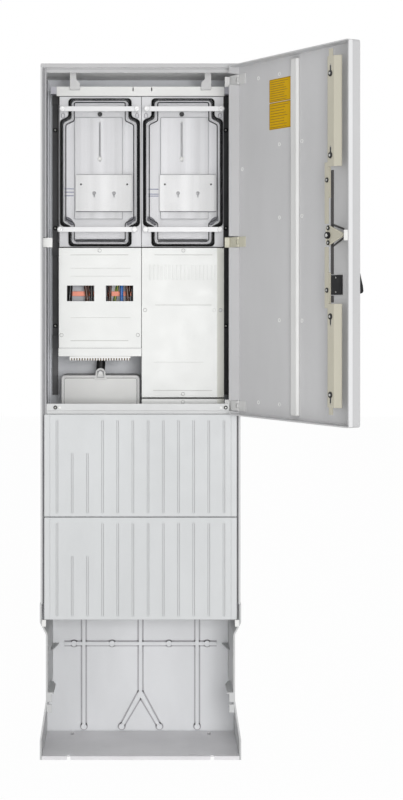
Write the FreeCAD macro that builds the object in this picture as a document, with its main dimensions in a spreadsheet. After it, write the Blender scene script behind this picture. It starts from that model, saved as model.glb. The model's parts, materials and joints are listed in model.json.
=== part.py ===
"""Free-standing outdoor meter column: a moulded plastic housing on an open-fronted ground base.

The origin is on the ground under the middle of the footprint, +Z is up and -Y is the front.
The door stands open, as the rest pose. Everything on it is drawn where it is with the door
closed and then turned about the hinge line by one placement.
"""
import FreeCAD, Part
import math
import os
from types import SimpleNamespace
import Sketcher

os.makedirs("parts", exist_ok=True)
doc = FreeCAD.newDocument("MeterColumn")

# Driving sizes in millimetres. A depth is counted back from the front edge of the side walls.
SIZES = {
    # shell of the housing
    "column_width": 590.0,
    "column_depth": 296.0,
    "roof_room": 71.0,
    "roof_edge": 11.0,
    "roof_fall": 6.0,
    "roof_corner": 9.0,
    "seam_height": 460.0,
    "shell_wall": 5.0,
    "shell_corner": 3.0,
    "rim_width": 6.4,
    "rim_depth": 20.0,
    "groove_width": 5.0,
    "lip_width": 5.1,
    "lip_front": 15.0,
    "lip_thickness": 9.0,
    "top_lip_drop": 13.5,
    "top_lip_height": 8.1,
    "back_flange": 19.0,
    "seat_gap": 0.3,
    # sill under the door opening
    "sill_rise": 560.0,
    "sill_height": 30.0,
    "door_sill_gap": 0.5,
    "sill_wall": 4.0,
    "sill_shelf": 41.0,
    "sill_line_height": 8.5,
    "sill_line": 1.5,
    "sill_screw_inset": 43.0,
    "sill_screw_z": 18.7,
    "sill_screw_radius": 5.5,
    "sill_notch": 16.5,
    # removable front panels
    "panel_side_room": 22.0,
    "panel_overlap": 46.2,
    "panel_joint": 2.8,
    "panel_setback": 2.0,
    "panel_skin": 4.0,
    "panel_corner": 3.0,
    "door_to_panel": 1.5,
    "flute_margin": 37.6,
    "flute_width": 7.0,
    "flute_depth": 1.8,
    "flute_top_margin": 16.0,
    "flute_bottom_margin": 9.5,
    "short_flute_cut": 97.0,
    "edge_line_inset": 16.5,
    "edge_line": 1.2,
    "hook_width": 12.0,
    "hook_height": 20.0,
    "hook_thickness": 3.0,
    "hook_inset": 10.2,
    # ground base
    "base_proud": 2.0,
    "waist_inset": 18.0,
    "base_wall": 5.0,
    "flare_top": 58.0,
    "waist_bottom": 177.0,
    "waist_top_drop": 90.0,
    "shoulder_drop": 55.0,
    "base_bend": 16.0,
    "gusset_height": 283.0,
    "gusset_width": 20.0,
    "gusset_length": 119.0,
    "fin_height": 195.0,
    "fin_length": 156.0,
    "fin_width": 18.0,
    "web_thickness": 4.0,
    "lug_width": 12.0,
    "lug_height": 24.0,
    "lug_slot": 7.5,
    "rib_width": 10.6,
    "rib_proud": 6.0,
    "side_rib_inset": 102.0,
    "rib_foot": 24.0,
    "fork_height": 124.0,
    "fork_x": 59.0,
    "cross_rib_inset": 21.0,
    "boss_radius": 8.8,
    "boss_outer_inset": 71.0,
    "boss_inner_x": 89.0,
    "floor_thickness": 4.0,
    "floor_height": 11.0,
    "floor_skirt": 5.0,
    "floor_rib": 4.0,
    "anchor_slot_inset": 67.0,
    "anchor_slot_width": 11.0,
    "anchor_slot_length": 33.0,
    "anchor_slot_back": 12.0,
    "drain_slot_inset": 124.0,
    "drain_slot_length": 23.0,
    "drain_slot_width": 4.0,
    "drain_slot_depth": 26.0,
    # mounting rails and cross rails
    "rail_inset": 38.0,
    "rail_width": 17.0,
    "rail_standoff": 28.0,
    "rail_wall": 2.0,
    "rail_rise": 42.0,
    "rail_drop": 34.0,
    "rail_screw_radius": 7.0,
    "rail_screw_rise": 256.0,
    "rail_screw_pitch": 305.0,
    "cross_rail_depth": 10.0,
    "cross_rail_height": 40.0,
    "top_rail_rise": 11.0,
    "middle_rail_drop": 3.0,
    "fuse_rail_rise": 16.0,
    "bottom_rail_rise": 23.5,
    # white band over the meters
    "band_gap": 3.0,
    "band_height": 28.5,
    "band_front": 125.0,
    "band_wall": 3.0,
    "band_slot_left": 22.4,
    "band_slot_right": 34.0,
    "band_slot_width": 3.0,
    "band_slot_height": 14.0,
    "end_block_width": 17.0,
    "end_block_height": 22.0,
    "bracket_inset": 60.0,
    "bracket_width": 19.0,
    "bracket_foot": 11.0,
    "bracket_head": 20.0,
    "bracket_base": 20.0,
    "bracket_slant": 12.0,
    "bracket_thickness": 16.0,
    # meter fields
    "field_shift": 3.0,
    "field_room": 8.0,
    "field_joint": 1.5,
    "meter_gap": 4.4,
    "meter_height": 455.0,
    "meter_front": 130.0,
    "meter_well": 26.0,
    "meter_wall": 3.0,
    "hood_front": 92.0,
    "hood_back": 126.0,
    "hood_wall": 3.0,
    "hood_spread": 1.1,
    "hood_margin": 9.75,
    "hood_step": 25.5,
    "hood_top_margin": 10.0,
    "upper_shoulder": 65.0,
    "lower_shoulder": 59.0,
    "hood_low_margin": 6.0,
    "hood_slant": 12.0,
    "hood_corner": 12.0,
    "gasket_outward": 7.2,
    "gasket_end": 4.8,
    "gasket_inward": 2.8,
    "well_inset": 5.0,
    "slot_band_rise": 20.0,
    "slot_band_height": 9.5,
    "slot_band_inset": 13.5,
    "bar_height": 14.6,
    "bar_thickness": 5.7,
    "bar_end": 7.0,
    "knob_inset": 11.75,
    "top_knob_shift": 1.2,
    "top_knob_spread": 2.5,
    "lower_knob_shift": -4.1,
    "lower_knob_spread": 4.0,
    "top_knob_drop": 41.5,
    "lower_knob_rise": 51.0,
    "knob_radius": 8.8,
    "knob_height": 7.7,
    "knob_stem": 4.0,
    "knob_clearance": 0.4,
    "ring_radius": 7.0,
    "ring_wall": 2.5,
    "ring_drop": 17.0,
    "ring_height": 4.0,
    "carrier_inset": 41.0,
    "carrier_shift": 6.0,
    "carrier_slot_shift": 2.0,
    "carrier_rise": 85.0,
    "carrier_drop": 61.0,
    "carrier_depth": 9.0,
    "sheet_wall": 2.0,
    "carrier_slot_width": 6.0,
    "carrier_slot_rise": 260.0,
    "carrier_slot_drop": 14.0,
    "slider_radius": 6.5,
    "terminal_inset": 28.0,
    "terminal_shift": 13.7,
    "terminal_spread": 2.8,
    "terminal_rise": 21.0,
    "terminal_height": 114.0,
    "terminal_depth": 9.0,
    "terminal_hole_radius": 3.0,
    "terminal_hole_inset": 16.0,
    "terminal_hole_drop": 30.0,
    "keyhole_half": 30.0,
    "keyhole_radius": 4.0,
    "keyhole_drop": 57.0,
    "keyhole_slot": 12.0,
    "grommet_radius": 12.5,
    "grommet_inset": 22.0,
    "grommet_rise": 85.0,
    "grommet_thickness": 5.0,
    # covers of the lower fields
    "cover_front": 90.0,
    "cover_depth": 60.0,
    "cover_wall": 3.0,
    "cover_top_rise": 493.6,
    "fuse_cover_rise": 192.0,
    "fuse_flange_height": 24.0,
    "fuse_flange_proud": 5.0,
    "window_width": 82.0,
    "window_height": 47.0,
    "window_rise": 141.5,
    "window_gap": 35.0,
    "blank_cover_rise": 44.5,
    "lower_cover_drop": 20.0,
    "lower_cover_gap": 5.0,
    "slope_width": 21.0,
    "slope_drop": 10.0,
    "vent_width": 4.5,
    "vent_height": 44.0,
    "vent_right": 27.3,
    "vent_left": 23.0,
    "vent_drop": 95.6,
    "vent_depth": 1.2,
    "cover_screw_radius": 4.5,
    "cover_screw_head": 1.6,
    "cover_screw_length": 9.0,
    "cover_screw_shank": 2.0,
    "cover_screw_inset": 8.0,
    "cover_screw_side": 9.5,
    "fuse_screw_rise": 39.5,
    "blank_screw_rise": 262.5,
    "frame_wall": 4.0,
    "frame_inset": 3.0,
    # busbars and wires behind the windows
    "bus_plate": 6.0,
    "busbar_height": 14.0,
    "busbar_thickness": 5.0,
    "busbar_depth": 160.0,
    "busbar_rise": 84.0,
    "busbar_pitch": 40.0,
    "busbar_inset": 11.75,
    "holder_width": 12.0,
    "holder_reach": 6.0,
    "wire_radius": 4.2,
    "wire_front": 133.0,
    "wire_step": 9.0,
    "strip_drop": 31.6,
    "strip_depth": 30.0,
    "comb_inset": 32.25,
    "comb_height": 5.5,
    "comb_thickness": 6.0,
    "tooth_width": 4.2,
    "tooth_height": 8.5,
    "comb_end": 3.9,
    # service box and its cable
    "service_margin": 9.5,
    "service_drop": 240.0,
    "service_rise": 107.8,
    "service_front": 150.0,
    "service_split": 200.0,
    "service_corner": 12.0,
    "service_rim": 8.0,
    "service_recess": 3.0,
    "service_wall": 4.0,
    "lug_base_half": 20.0,
    "lug_tip_radius": 10.0,
    "lug_rise": 20.0,
    "lug_plate": 6.0,
    "lug_screw_radius": 5.5,
    "cable_radius": 13.5,
    "cable_standoff": 32.0,
    "cable_bottom_shift": 0.5,
    "cable_bend_shift": 3.5,
    "cable_bend_rise": 57.2,
    "cable_top_shift": 8.5,
    "cable_way": 18.0,
    "cable_top_rise": 28.0,
    "clamp_half": 42.0,
    "clamp_height": 55.0,
    "clamp_standoff": 52.0,
    # door
    "door_side_gap": 8.0,
    "door_proud": 24.0,
    "door_skin": 4.0,
    "door_edge": 3.5,
    "door_flange_tip": 14.0,
    "door_top_gap": 0.5,
    "door_corner": 8.0,
    "door_angle": 120.0,
    "hinge_inset": 7.4,
    "hinge_proud": 20.0,
    "hinge_height": 30.0,
    "top_hinge_drop": 40.0,
    "middle_hinge_rise": 13.9,
    "lower_hinge_rise": 26.5,
    "knuckle_radius": 5.0,
    "hinge_pin_radius": 2.5,
    "pin_clearance": 0.15,
    "knuckle_height": 12.0,
    "knuckle_gap": 0.5,
    "hinge_plate": 3.5,
    "hinge_notch": 8.0,
    "hinge_notch_gap": 1.5,
    "neck_inner_offset": 23.6,
    "neck_turn_offset": 17.6,
    "neck_turn_depth": 5.0,
    "leaf_visible": 14.0,
    "bracket_foot_length": 34.0,
    "leaf_length": 30.0,
    "leaf_thickness": 3.0,
    "stiffener_near": 272.0,
    "stiffener_width": 36.0,
    "stiffener_height": 10.0,
    "stiffener_slant": 6.0,
    "stiffener_wall": 2.0,
    "stiffener_margin": 14.0,
    "tab_height": 28.0,
    "tab_reach": 11.0,
    "tab_thickness": 2.8,
    "keeper_width": 27.7,
    "keeper_height": 28.0,
    "keeper_depth": 18.0,
    "keeper_front": 28.0,
    # three-point lock on the inner face of the door, placed from the hinge edge
    "pivot_inset": 96.0,
    "pivot_rise": 12.0,
    "shaft_radius": 8.0,
    "shaft_clearance": 0.5,
    "bushing_radius": 13.0,
    "cam_standoff": 24.0,
    "cam_thickness": 4.0,
    "cam_half": 27.0,
    "cam_back": 12.0,
    "tongue_reach": 66.0,
    "tongue_half": 5.0,
    "cam_pin_radius": 3.0,
    "cam_pin_offset": 20.0,
    "cam_pin_height": 1.6,
    "nut_radius": 9.0,
    "nut_height": 7.0,
    "rod_standoff": 30.0,
    "rod_thickness": 2.5,
    "rod_travel": 22.0,
    "rod_start": 31.0,
    "strip_offset": 11.0,
    "strip_width": 16.0,
    "strip_end": 183.0,
    "strip_flange": 6.5,
    "strip_flange_start": 100.0,
    "plate_offset": 2.0,
    "plate_width": 28.0,
    "plate_flange": 16.0,
    "plate_drop": 13.0,
    "upper_plate_drop": 36.0,
    "upper_rod_drop": 17.0,
    "lower_plate_rise": 50.0,
    "lower_rod_rise": 31.0,
    "rod_end_width": 16.0,
    "guide_offset": 15.0,
    "top_guide_drop": 82.5,
    "upper_guide_rise": 213.0,
    "lower_guide_drop": 217.0,
    "bottom_guide_rise": 84.0,
    "guide_radius": 3.0,
    "guide_collar": 5.5,
    "guide_head_radius": 7.5,
    "guide_head": 2.2,
    "guide_clearance": 0.5,
    "lock_plate_size": 53.0,
    "lock_plate_offset": 27.0,
    "lock_plate_drop": 159.0,
    "lock_plate_thickness": 3.0,
    # swing handle on the outer face
    "escutcheon_width": 54.0,
    "escutcheon_drop": 170.0,
    "escutcheon_rise": 32.0,
    "escutcheon_thickness": 3.5,
    "escutcheon_corner": 10.0,
    "hub_radius": 18.0,
    "hub_disc": 6.0,
    "hub_lug_width": 14.0,
    "hub_lug_reach": 20.0,
    "hub_lug_half": 9.0,
    "lever_pivot": 17.0,
    "lever_width": 30.0,
    "lever_cheek_gap": 0.4,
    "lever_length": 158.0,
    "lever_proud": 74.0,
    "lever_grip": 22.0,
    "lever_pin_radius": 2.5,
}

# Places that follow from the sizes above, in the order in which they follow.
FOLLOWING = {
    # across the column and into its depth
    "door_half": "column_width / 2 - door_side_gap",
    "hinge_x": "column_width / 2 - hinge_inset",
    "neck_inner_x": "hinge_x - neck_inner_offset",
    "neck_turn_x": "hinge_x - neck_turn_offset",
    "panel_width": "column_width - panel_side_room",
    "flute_pitch": "(panel_width - 2 * flute_margin) / 11",
    "edge_line_x": "panel_width / 2 - edge_line_inset",
    "hook_x": "column_width / 2 - hook_inset",
    "sill_screw_x": "column_width / 2 - sill_screw_inset",
    "base_half": "column_width / 2 + base_proud",
    "waist_half": "base_half - waist_inset",
    "cross_rib_half": "waist_half - cross_rib_inset",
    "boss_outer_x": "waist_half - boss_outer_inset",
    "side_rib_x": "waist_half - side_rib_inset",
    "anchor_slot_x": "waist_half - anchor_slot_inset",
    "drain_slot_x": "waist_half - drain_slot_inset",
    "rail_inner_x": "column_width / 2 - rail_inset",
    "rail_front": "column_depth - rail_standoff",
    "band_half": "rail_inner_x - band_gap",
    "bracket_inner": "band_half - bracket_inset",
    "bracket_outer": "bracket_inner + bracket_width",
    "field_pitch": "rail_inner_x - field_room",
    "meter_width": "field_pitch - field_joint",
    "hood_half": "meter_width / 2 - hood_margin",
    "hood_neck_half": "hood_half - hood_step",
    "knob_half_spacing": "meter_width / 2 - knob_inset",
    "slot_band_half": "hood_neck_half - slot_band_inset",
    "carrier_half": "hood_half - carrier_inset",
    "terminal_half": "hood_half - terminal_inset",
    "terminal_hole_half": "terminal_half - terminal_hole_inset",
    "grommet_half": "hood_half - grommet_inset",
    "busbar_half": "meter_width / 2 - busbar_inset",
    "comb_half": "meter_width / 2 - comb_inset",
    "tooth_pitch": "(2 * comb_half - tooth_width - comb_end) / 22",
    "vent_pitch": "(meter_width - vent_left - vent_right) / 17",
    "service_width": "meter_width - service_margin",
    "cable_depth": "rail_front - cable_standoff",
    "clamp_front": "rail_front - clamp_standoff",
    "cable_bottom_x": "field_pitch / 2 - cable_bottom_shift",
    "cable_bend_x": "field_pitch / 2 - cable_bend_shift",
    "cable_top_x": "field_pitch / 2 - cable_top_shift",
    "pivot_reach": "2 * door_half - pivot_inset",
    "strip_near": "pivot_reach - strip_offset",
    "plate_near": "pivot_reach + plate_offset",
    "guide_reach": "pivot_reach + guide_offset",
    "lock_plate_near": "pivot_reach - lock_plate_offset",
    # upwards from the ground
    "sill_bottom": "seam_height + sill_rise",
    "shoulder": "seam_height - shoulder_drop",
    "waist_top": "seam_height - waist_top_drop",
    "panel_top": "sill_bottom + door_sill_gap - door_to_panel",
    "panel_height": "(panel_top - seam_height + panel_overlap - panel_joint) / 2",
    "blank_cover_bottom": "sill_bottom + blank_cover_rise",
    "lower_cover_top": "blank_cover_bottom - lower_cover_gap",
    "lower_cover_bottom": "sill_bottom - lower_cover_drop",
    "fuse_cover_bottom": "sill_bottom + fuse_cover_rise",
    "cover_top": "sill_bottom + cover_top_rise",
    "meter_bottom": "cover_top + meter_gap",
    "meter_top": "meter_bottom + meter_height",
    "roof_underside": "meter_top + roof_room",
    "hood_bottom": "meter_bottom + hood_low_margin",
    "hood_top": "meter_top - hood_top_margin",
    "hood_shoulder_top": "meter_top - upper_shoulder",
    "hood_shoulder_bottom": "meter_bottom + lower_shoulder",
    "slot_band_z": "meter_bottom + slot_band_rise",
    "knob_top_z": "meter_top - top_knob_drop",
    "knob_bottom_z": "meter_bottom + lower_knob_rise",
    "carrier_bottom": "meter_bottom + carrier_rise",
    "carrier_top": "meter_top - carrier_drop",
    "carrier_slot_bottom": "meter_bottom + carrier_slot_rise",
    "carrier_slot_top": "carrier_top - carrier_slot_drop",
    "terminal_bottom": "carrier_bottom + terminal_rise",
    "terminal_top": "terminal_bottom + terminal_height",
    "terminal_hole_z": "terminal_top - terminal_hole_drop",
    "keyhole_z": "terminal_top - keyhole_drop",
    "grommet_z": "meter_bottom + grommet_rise",
    "window_bottom": "fuse_cover_bottom + window_rise",
    "vent_bottom": "cover_top - vent_drop",
    "fuse_screw_z": "fuse_cover_bottom + fuse_screw_rise",
    "blank_screw_z": "blank_cover_bottom + blank_screw_rise",
    "busbar_z": "fuse_cover_bottom + busbar_rise",
    "strip_bottom": "cover_top - strip_drop",
    "service_bottom": "sill_bottom - service_drop",
    "service_top": "sill_bottom + service_rise",
    "cable_bend_z": "service_top + cable_bend_rise",
    "cable_top_z": "fuse_cover_bottom + cable_top_rise",
    "hinge_top_z": "roof_underside - top_hinge_drop",
    "hinge_middle_z": "cover_top + middle_hinge_rise",
    "hinge_bottom_z": "sill_bottom + lower_hinge_rise",
    "rail_bottom": "sill_bottom + rail_rise",
    "rail_top": "roof_underside - rail_drop",
    "rail_screw_low": "sill_bottom + rail_screw_rise",
    "top_rail_z": "meter_top + top_rail_rise",
    "middle_rail_z": "meter_bottom - middle_rail_drop",
    "fuse_rail_z": "fuse_cover_bottom + fuse_rail_rise",
    "bottom_rail_z": "blank_cover_bottom + bottom_rail_rise",
    "pivot_z": "meter_bottom + pivot_rise",
    "upper_plate_end": "roof_underside - upper_plate_drop",
    "upper_rod_end": "roof_underside - upper_rod_drop",
    "lower_plate_end": "sill_bottom + lower_plate_rise",
    "lower_rod_end": "sill_bottom + lower_rod_rise",
    "guide_top_z": "roof_underside - top_guide_drop",
    "guide_upper_z": "pivot_z + upper_guide_rise",
    "guide_lower_z": "pivot_z - lower_guide_drop",
    "guide_bottom_z": "sill_bottom + bottom_guide_rise",
    "lock_plate_bottom": "pivot_z - lock_plate_drop",
    "escutcheon_bottom": "pivot_z - escutcheon_drop",
    "escutcheon_top": "pivot_z + escutcheon_rise",
    "lever_bottom": "pivot_z - lever_length",
}

sheet = doc.addObject("Spreadsheet::Sheet", "Sizes")
cells = {name: str(value) for name, value in SIZES.items()}
cells.update({name: "=" + formula for name, formula in FOLLOWING.items()})
for row, (name, content) in enumerate(cells.items(), start=1):
    sheet.set(f"A{row}", name)
    sheet.set(f"B{row}", content)
    sheet.setAlias(f"B{row}", name)
doc.recompute()


class Size:
    """A length with its value and the sheet expression that it comes from."""

    def __init__(self, value, text):
        self.value = value
        self.text = text

    def __add__(self, other):
        other = sized(other)
        return Size(self.value + other.value, f"({self.text} + {other.text})")

    def __sub__(self, other):
        other = sized(other)
        return Size(self.value - other.value, f"({self.text} - {other.text})")

    def __mul__(self, other):
        other = sized(other)
        return Size(self.value * other.value, f"({self.text} * {other.text})")

    def __truediv__(self, other):
        other = sized(other)
        return Size(self.value / other.value, f"({self.text} / {other.text})")

    def __neg__(self):
        return Size(-self.value, f"(-1 * {self.text})")

    def __radd__(self, other):
        return sized(other) + self

    def __rsub__(self, other):
        return sized(other) - self

    def __rmul__(self, other):
        return sized(other) * self


def sized(number):
    """Give a plain number the same form as a size."""
    return number if isinstance(number, Size) else Size(float(number), repr(float(number)))


mm = SimpleNamespace(**{name: Size(float(sheet.get(name)), "Sizes." + name) for name in cells})
front = -mm.column_depth / 2
back = mm.column_depth / 2
PLANES = {"XY": "XY_Plane", "XZ": "XZ_Plane", "YZ": "YZ_Plane"}
nodes = []


def depth(distance):
    """Y of a plane that lies this far behind the front edge of the walls."""
    return front + distance


def bind(item, prop, size):
    """Tie one property to the sheet."""
    item.setExpression(prop, sized(size).text)


def place(item, corner):
    """Tie the position of a primitive to the sheet."""
    for axis, size in zip("xyz", corner):
        bind(item, "Placement.Base." + axis, size)


def block(name, x, y, z):
    """A box between two values on each axis."""
    box = doc.addObject("Part::Box", name)
    for prop, (low, high) in zip(("Length", "Width", "Height"), (x, y, z)):
        bind(box, prop, high - low)
    place(box, (x[0], y[0], z[0]))
    return box


def round_bar(name, radius, start, length, axis="z"):
    """A cylinder that starts at a point and runs along one axis."""
    bar = doc.addObject("Part::Cylinder", name)
    bind(bar, "Radius", radius)
    bind(bar, "Height", length)
    turns = {"x": (FreeCAD.Vector(0, 1, 0), 90), "y": (FreeCAD.Vector(1, 0, 0), -90)}
    if axis in turns:
        bar.Placement = FreeCAD.Placement(FreeCAD.Vector(), FreeCAD.Rotation(*turns[axis]))
    place(bar, start)
    return bar


def join(name, pieces):
    """One solid from touching or overlapping pieces."""
    joined = doc.addObject("Part::MultiFuse", name)
    joined.Shapes = pieces
    joined.Refine = True
    return joined


def cut(name, base, tools):
    """The base with every tool taken away."""
    tool = tools[0] if len(tools) == 1 else group(name + "_tools", tools)
    result = doc.addObject("Part::Cut", name)
    result.Base = base
    result.Tool = tool
    result.Refine = True
    return result


def group(name, pieces):
    """Like pieces that stay separate solids."""
    together = doc.addObject("Part::Compound", name)
    together.Links = pieces
    return together


def outline(body, name, plane, points, level):
    """A closed sketch through the given points, each tied to the sheet, level along the normal."""
    sketch = body.newObject("Sketcher::SketchObject", name)
    support = next(f for f in body.Origin.OriginFeatures if f.Role == PLANES[plane])
    sketch.AttachmentSupport = [(support, "")]
    sketch.MapMode = "FlatFace"
    bind(sketch, "AttachmentOffset.Base.z", -level if plane == "XZ" else level)
    points = [(sized(u), sized(v)) for u, v in points]
    corners = [FreeCAD.Vector(u.value, v.value, 0) for u, v in points]
    for index, corner in enumerate(corners):
        following = corners[(index + 1) % len(corners)]
        sketch.addGeometry(Part.LineSegment(corner, following), False)
    for index in range(len(corners)):
        following = (index + 1) % len(corners)
        sketch.addConstraint(Sketcher.Constraint("Coincident", index, 2, following, 1))
    for index, point in enumerate(points):
        for kind, size in zip(("DistanceX", "DistanceY"), point):
            number = sketch.addConstraint(Sketcher.Constraint(kind, -1, 1, index, 1, size.value))
            bind(sketch, f"Constraints[{number}]", size)
    return sketch


def disc_outline(body, name, plane, centres, radius, level):
    """A sketch of equal circles, tied to the sheet."""
    sketch = outline(body, name, plane, [], level)
    for index, (u, v) in enumerate(centres):
        centre = FreeCAD.Vector(sized(u).value, sized(v).value, 0)
        sketch.addGeometry(Part.Circle(centre, FreeCAD.Vector(0, 0, 1), radius.value), False)
        for kind, size in zip(("DistanceX", "DistanceY"), (sized(u), sized(v))):
            number = sketch.addConstraint(Sketcher.Constraint(kind, -1, 1, index, 3, size.value))
            bind(sketch, f"Constraints[{number}]", size)
        number = sketch.addConstraint(Sketcher.Constraint("Radius", index, radius.value))
        bind(sketch, f"Constraints[{number}]", radius)
    return sketch


def raise_from(body, sketch, low, high):
    """Pad a sketch that lies on the low side, or on the high side where the plane faces -Y."""
    pad = body.newObject("PartDesign::Pad", sketch.Name + "_pad")
    pad.Profile = sketch
    bind(pad, "Length", high - low)
    return pad


def sink_from(body, sketch, low, high):
    """Pocket between the same two levels as a pad would fill."""
    pocket = body.newObject("PartDesign::Pocket", sketch.Name + "_pocket")
    pocket.Profile = sketch
    pocket.Reversed = True
    bind(pocket, "Length", high - low)
    return pocket


def base_level(plane, low, high):
    """The side that a sketch lies on, so that the feature fills low to high."""
    return high if plane == "XZ" else low


def pad(body, name, plane, points, low, high):
    """Fill an outline between two levels along the plane's normal."""
    sketch = outline(body, name, plane, points, base_level(plane, low, high))
    return raise_from(body, sketch, low, high)


def pocket(body, name, plane, points, low, high):
    """Cut an outline between two levels along the plane's normal."""
    sketch = outline(body, name, plane, points, base_level(plane, low, high))
    return sink_from(body, sketch, low, high)


def rectangle(left, right, bottom, top):
    """The four corners of an upright rectangle."""
    return [(left, bottom), (right, bottom), (right, top), (left, top)]


def new_body(name):
    """An empty part design body."""
    return doc.addObject("PartDesign::Body", name)


def straight_edges(shape, direction, test):
    """Names of the straight edges along a direction whose middle passes the test."""
    found = []
    for index, edge in enumerate(shape.Edges, start=1):
        if len(edge.Vertexes) < 2:
            continue
        run = edge.Vertexes[1].Point - edge.Vertexes[0].Point
        if run.Length > 0 and abs(run.dot(direction)) > 0.995 * run.Length:
            middle = (edge.Vertexes[0].Point + edge.Vertexes[1].Point) * 0.5
            if test(middle):
                found.append(f"Edge{index}")
    return found


def round_edges(body, radius, direction, test, name):
    """Fillet the chosen straight edges of the body's last feature."""
    doc.recompute()
    last = body.Tip
    names = straight_edges(last.Shape, direction, test)
    fillet = body.newObject("PartDesign::Fillet", name)
    fillet.Base = (last, names)
    bind(fillet, "Radius", radius)
    return fillet


ALONG_Y, ALONG_Z = FreeCAD.Vector(0, 1, 0), FreeCAD.Vector(0, 0, 1)


def keep(label, item):
    """Name a finished sub-part that stays with the column."""
    item.Label = label
    nodes.append(item)
    return item


def keep_on_door(label, item):
    """Name a sub-part of the door and turn it about the hinge line to the open door's place."""
    if item.TypeId in ("Part::Box", "Part::Cylinder"):
        item = group(label + "_part", [item])
    turned_x = mm.hinge_x.text + " * cos({0}) - " + hinge_y.text + " * sin({0})"
    turned_y = mm.hinge_x.text + " * sin({0}) + " + hinge_y.text + " * cos({0})"
    angle = mm.door_angle.text + " * 1 deg"
    item.setExpression("Placement.Base.x", f"{mm.hinge_x.text} - ({turned_x.format(angle)})")
    item.setExpression("Placement.Base.y", f"{hinge_y.text} - ({turned_y.format(angle)})")
    item.setExpression("Placement.Rotation.Angle", mm.door_angle.text)
    return keep(label, item)


hinge_y = depth(-mm.hinge_proud)
half_width = mm.column_width / 2
opening_half = half_width - mm.rim_width - mm.groove_width - mm.lip_width
lip_back = mm.lip_front + mm.lip_thickness
sill_top = mm.sill_bottom + mm.sill_height
door_bottom = mm.sill_bottom + mm.door_sill_gap


# Side walls: moulded plates with a front rim, a groove for the door edge and an inner lip.
def side_wall(side, label):
    inner = half_width - mm.shell_wall
    rim_inner = half_width - mm.rim_width
    lip_outer = rim_inner - mm.groove_width
    points = [
        (side * half_width, depth(0)),
        (side * half_width, back),
        (side * inner, back),
        (side * inner, depth(lip_back)),
        (side * opening_half, depth(lip_back)),
        (side * opening_half, depth(mm.lip_front)),
        (side * lip_outer, depth(mm.lip_front)),
        (side * lip_outer, depth(mm.rim_depth)),
        (side * rim_inner, depth(mm.rim_depth)),
        (side * rim_inner, depth(0)),
    ]
    body = new_body(label)
    pad(body, label + "_section", "XY", points, mm.seam_height, mm.roof_underside)
    reach = half_width.value - 0.01
    round_edges(body, mm.shell_corner, ALONG_Z, lambda p: abs(p.x) > reach, label + "_rounding")
    if side < 0:
        tab_room = mm.tab_height / 2 + mm.hinge_notch_gap
        low, high = mm.hinge_middle_z - tab_room, mm.hinge_middle_z + tab_room
        notch = rectangle(-rim_inner, -opening_half + 1, low, high)
        pocket(body, label + "_tab_notch", "XZ", notch, depth(mm.lip_front - 1), depth(lip_back))
    return keep(label, body)


side_wall(-1, "left_side_wall")
side_wall(1, "right_side_wall")

# Back wall: a plate with a flange along each side that is screwed to the side wall.
back_half = half_width - mm.shell_wall - mm.seat_gap
back_face = mm.column_depth - mm.shell_wall
back_body = new_body("back_wall")
pad(back_body, "back_section", "XY", [
    (-back_half, back),
    (-back_half, depth(back_face - mm.back_flange)),
    (-back_half + mm.shell_wall, depth(back_face - mm.back_flange)),
    (-back_half + mm.shell_wall, depth(back_face)),
    (back_half - mm.shell_wall, depth(back_face)),
    (back_half - mm.shell_wall, depth(back_face - mm.back_flange)),
    (back_half, depth(back_face - mm.back_flange)),
    (back_half, back),
], mm.seam_height, mm.roof_underside)
keep("back_wall", back_body)

# Roof: a cap that falls to the back, with the lip that closes the top of the door opening.
roof_top = mm.roof_underside + mm.roof_edge
roof = new_body("roof")
pad(roof, "roof_cap", "YZ", [
    (depth(0), mm.roof_underside),
    (back, mm.roof_underside),
    (back, roof_top - mm.roof_fall),
    (depth(0), roof_top),
], -half_width, half_width)
lip_bottom = mm.roof_underside - mm.top_lip_drop
pad(roof, "roof_lip", "YZ", [
    (depth(mm.lip_front), lip_bottom),
    (depth(lip_back), lip_bottom),
    (depth(lip_back), mm.roof_underside),
    (depth(mm.rim_depth), mm.roof_underside),
    (depth(mm.rim_depth), lip_bottom + mm.top_lip_height),
    (depth(mm.lip_front), lip_bottom + mm.top_lip_height),
], -opening_half + mm.seat_gap, opening_half - mm.seat_gap)
doc.recompute()
roof_block = roof.Tip
roof_sides = []
for index, edge in enumerate(roof_block.Shape.Edges, start=1):
    middle = edge.CenterOfMass
    at_side = abs(middle.x) > half_width.value - 0.01
    if at_side and middle.z > mm.roof_underside.value + 4 and edge.Length > 100:
        roof_sides.append(f"Edge{index}")
roof_rounding = roof.newObject("PartDesign::Fillet", "roof_rounding")
roof_rounding.Base = (roof_block, roof_sides)
bind(roof_rounding, "Radius", mm.roof_corner / 2)
keep("roof", roof)

# Sill: the cross member below the door opening, cut back at the right end for the lowest hinge.
sill_half = opening_half - mm.seat_gap
sill = new_body("sill")
pad(sill, "sill_section", "YZ", [
    (depth(mm.lip_front), mm.sill_bottom),
    (depth(mm.lip_front), sill_top),
    (depth(mm.lip_front + mm.sill_wall), sill_top),
    (depth(mm.lip_front + mm.sill_wall), mm.sill_bottom + mm.sill_wall),
    (depth(mm.lip_front + mm.sill_wall + mm.sill_shelf), mm.sill_bottom + mm.sill_wall),
    (depth(mm.lip_front + mm.sill_wall + mm.sill_shelf), mm.sill_bottom),
], -sill_half, sill_half)
line_bottom = mm.sill_bottom + mm.sill_line_height
pocket(sill, "sill_line", "XZ",
       rectangle(-sill_half - 1, sill_half + 1, line_bottom, line_bottom + mm.sill_line),
       depth(mm.lip_front - 1), depth(mm.lip_front + 1))
hinge_room = mm.hinge_height / 2 + mm.hinge_notch_gap
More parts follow.
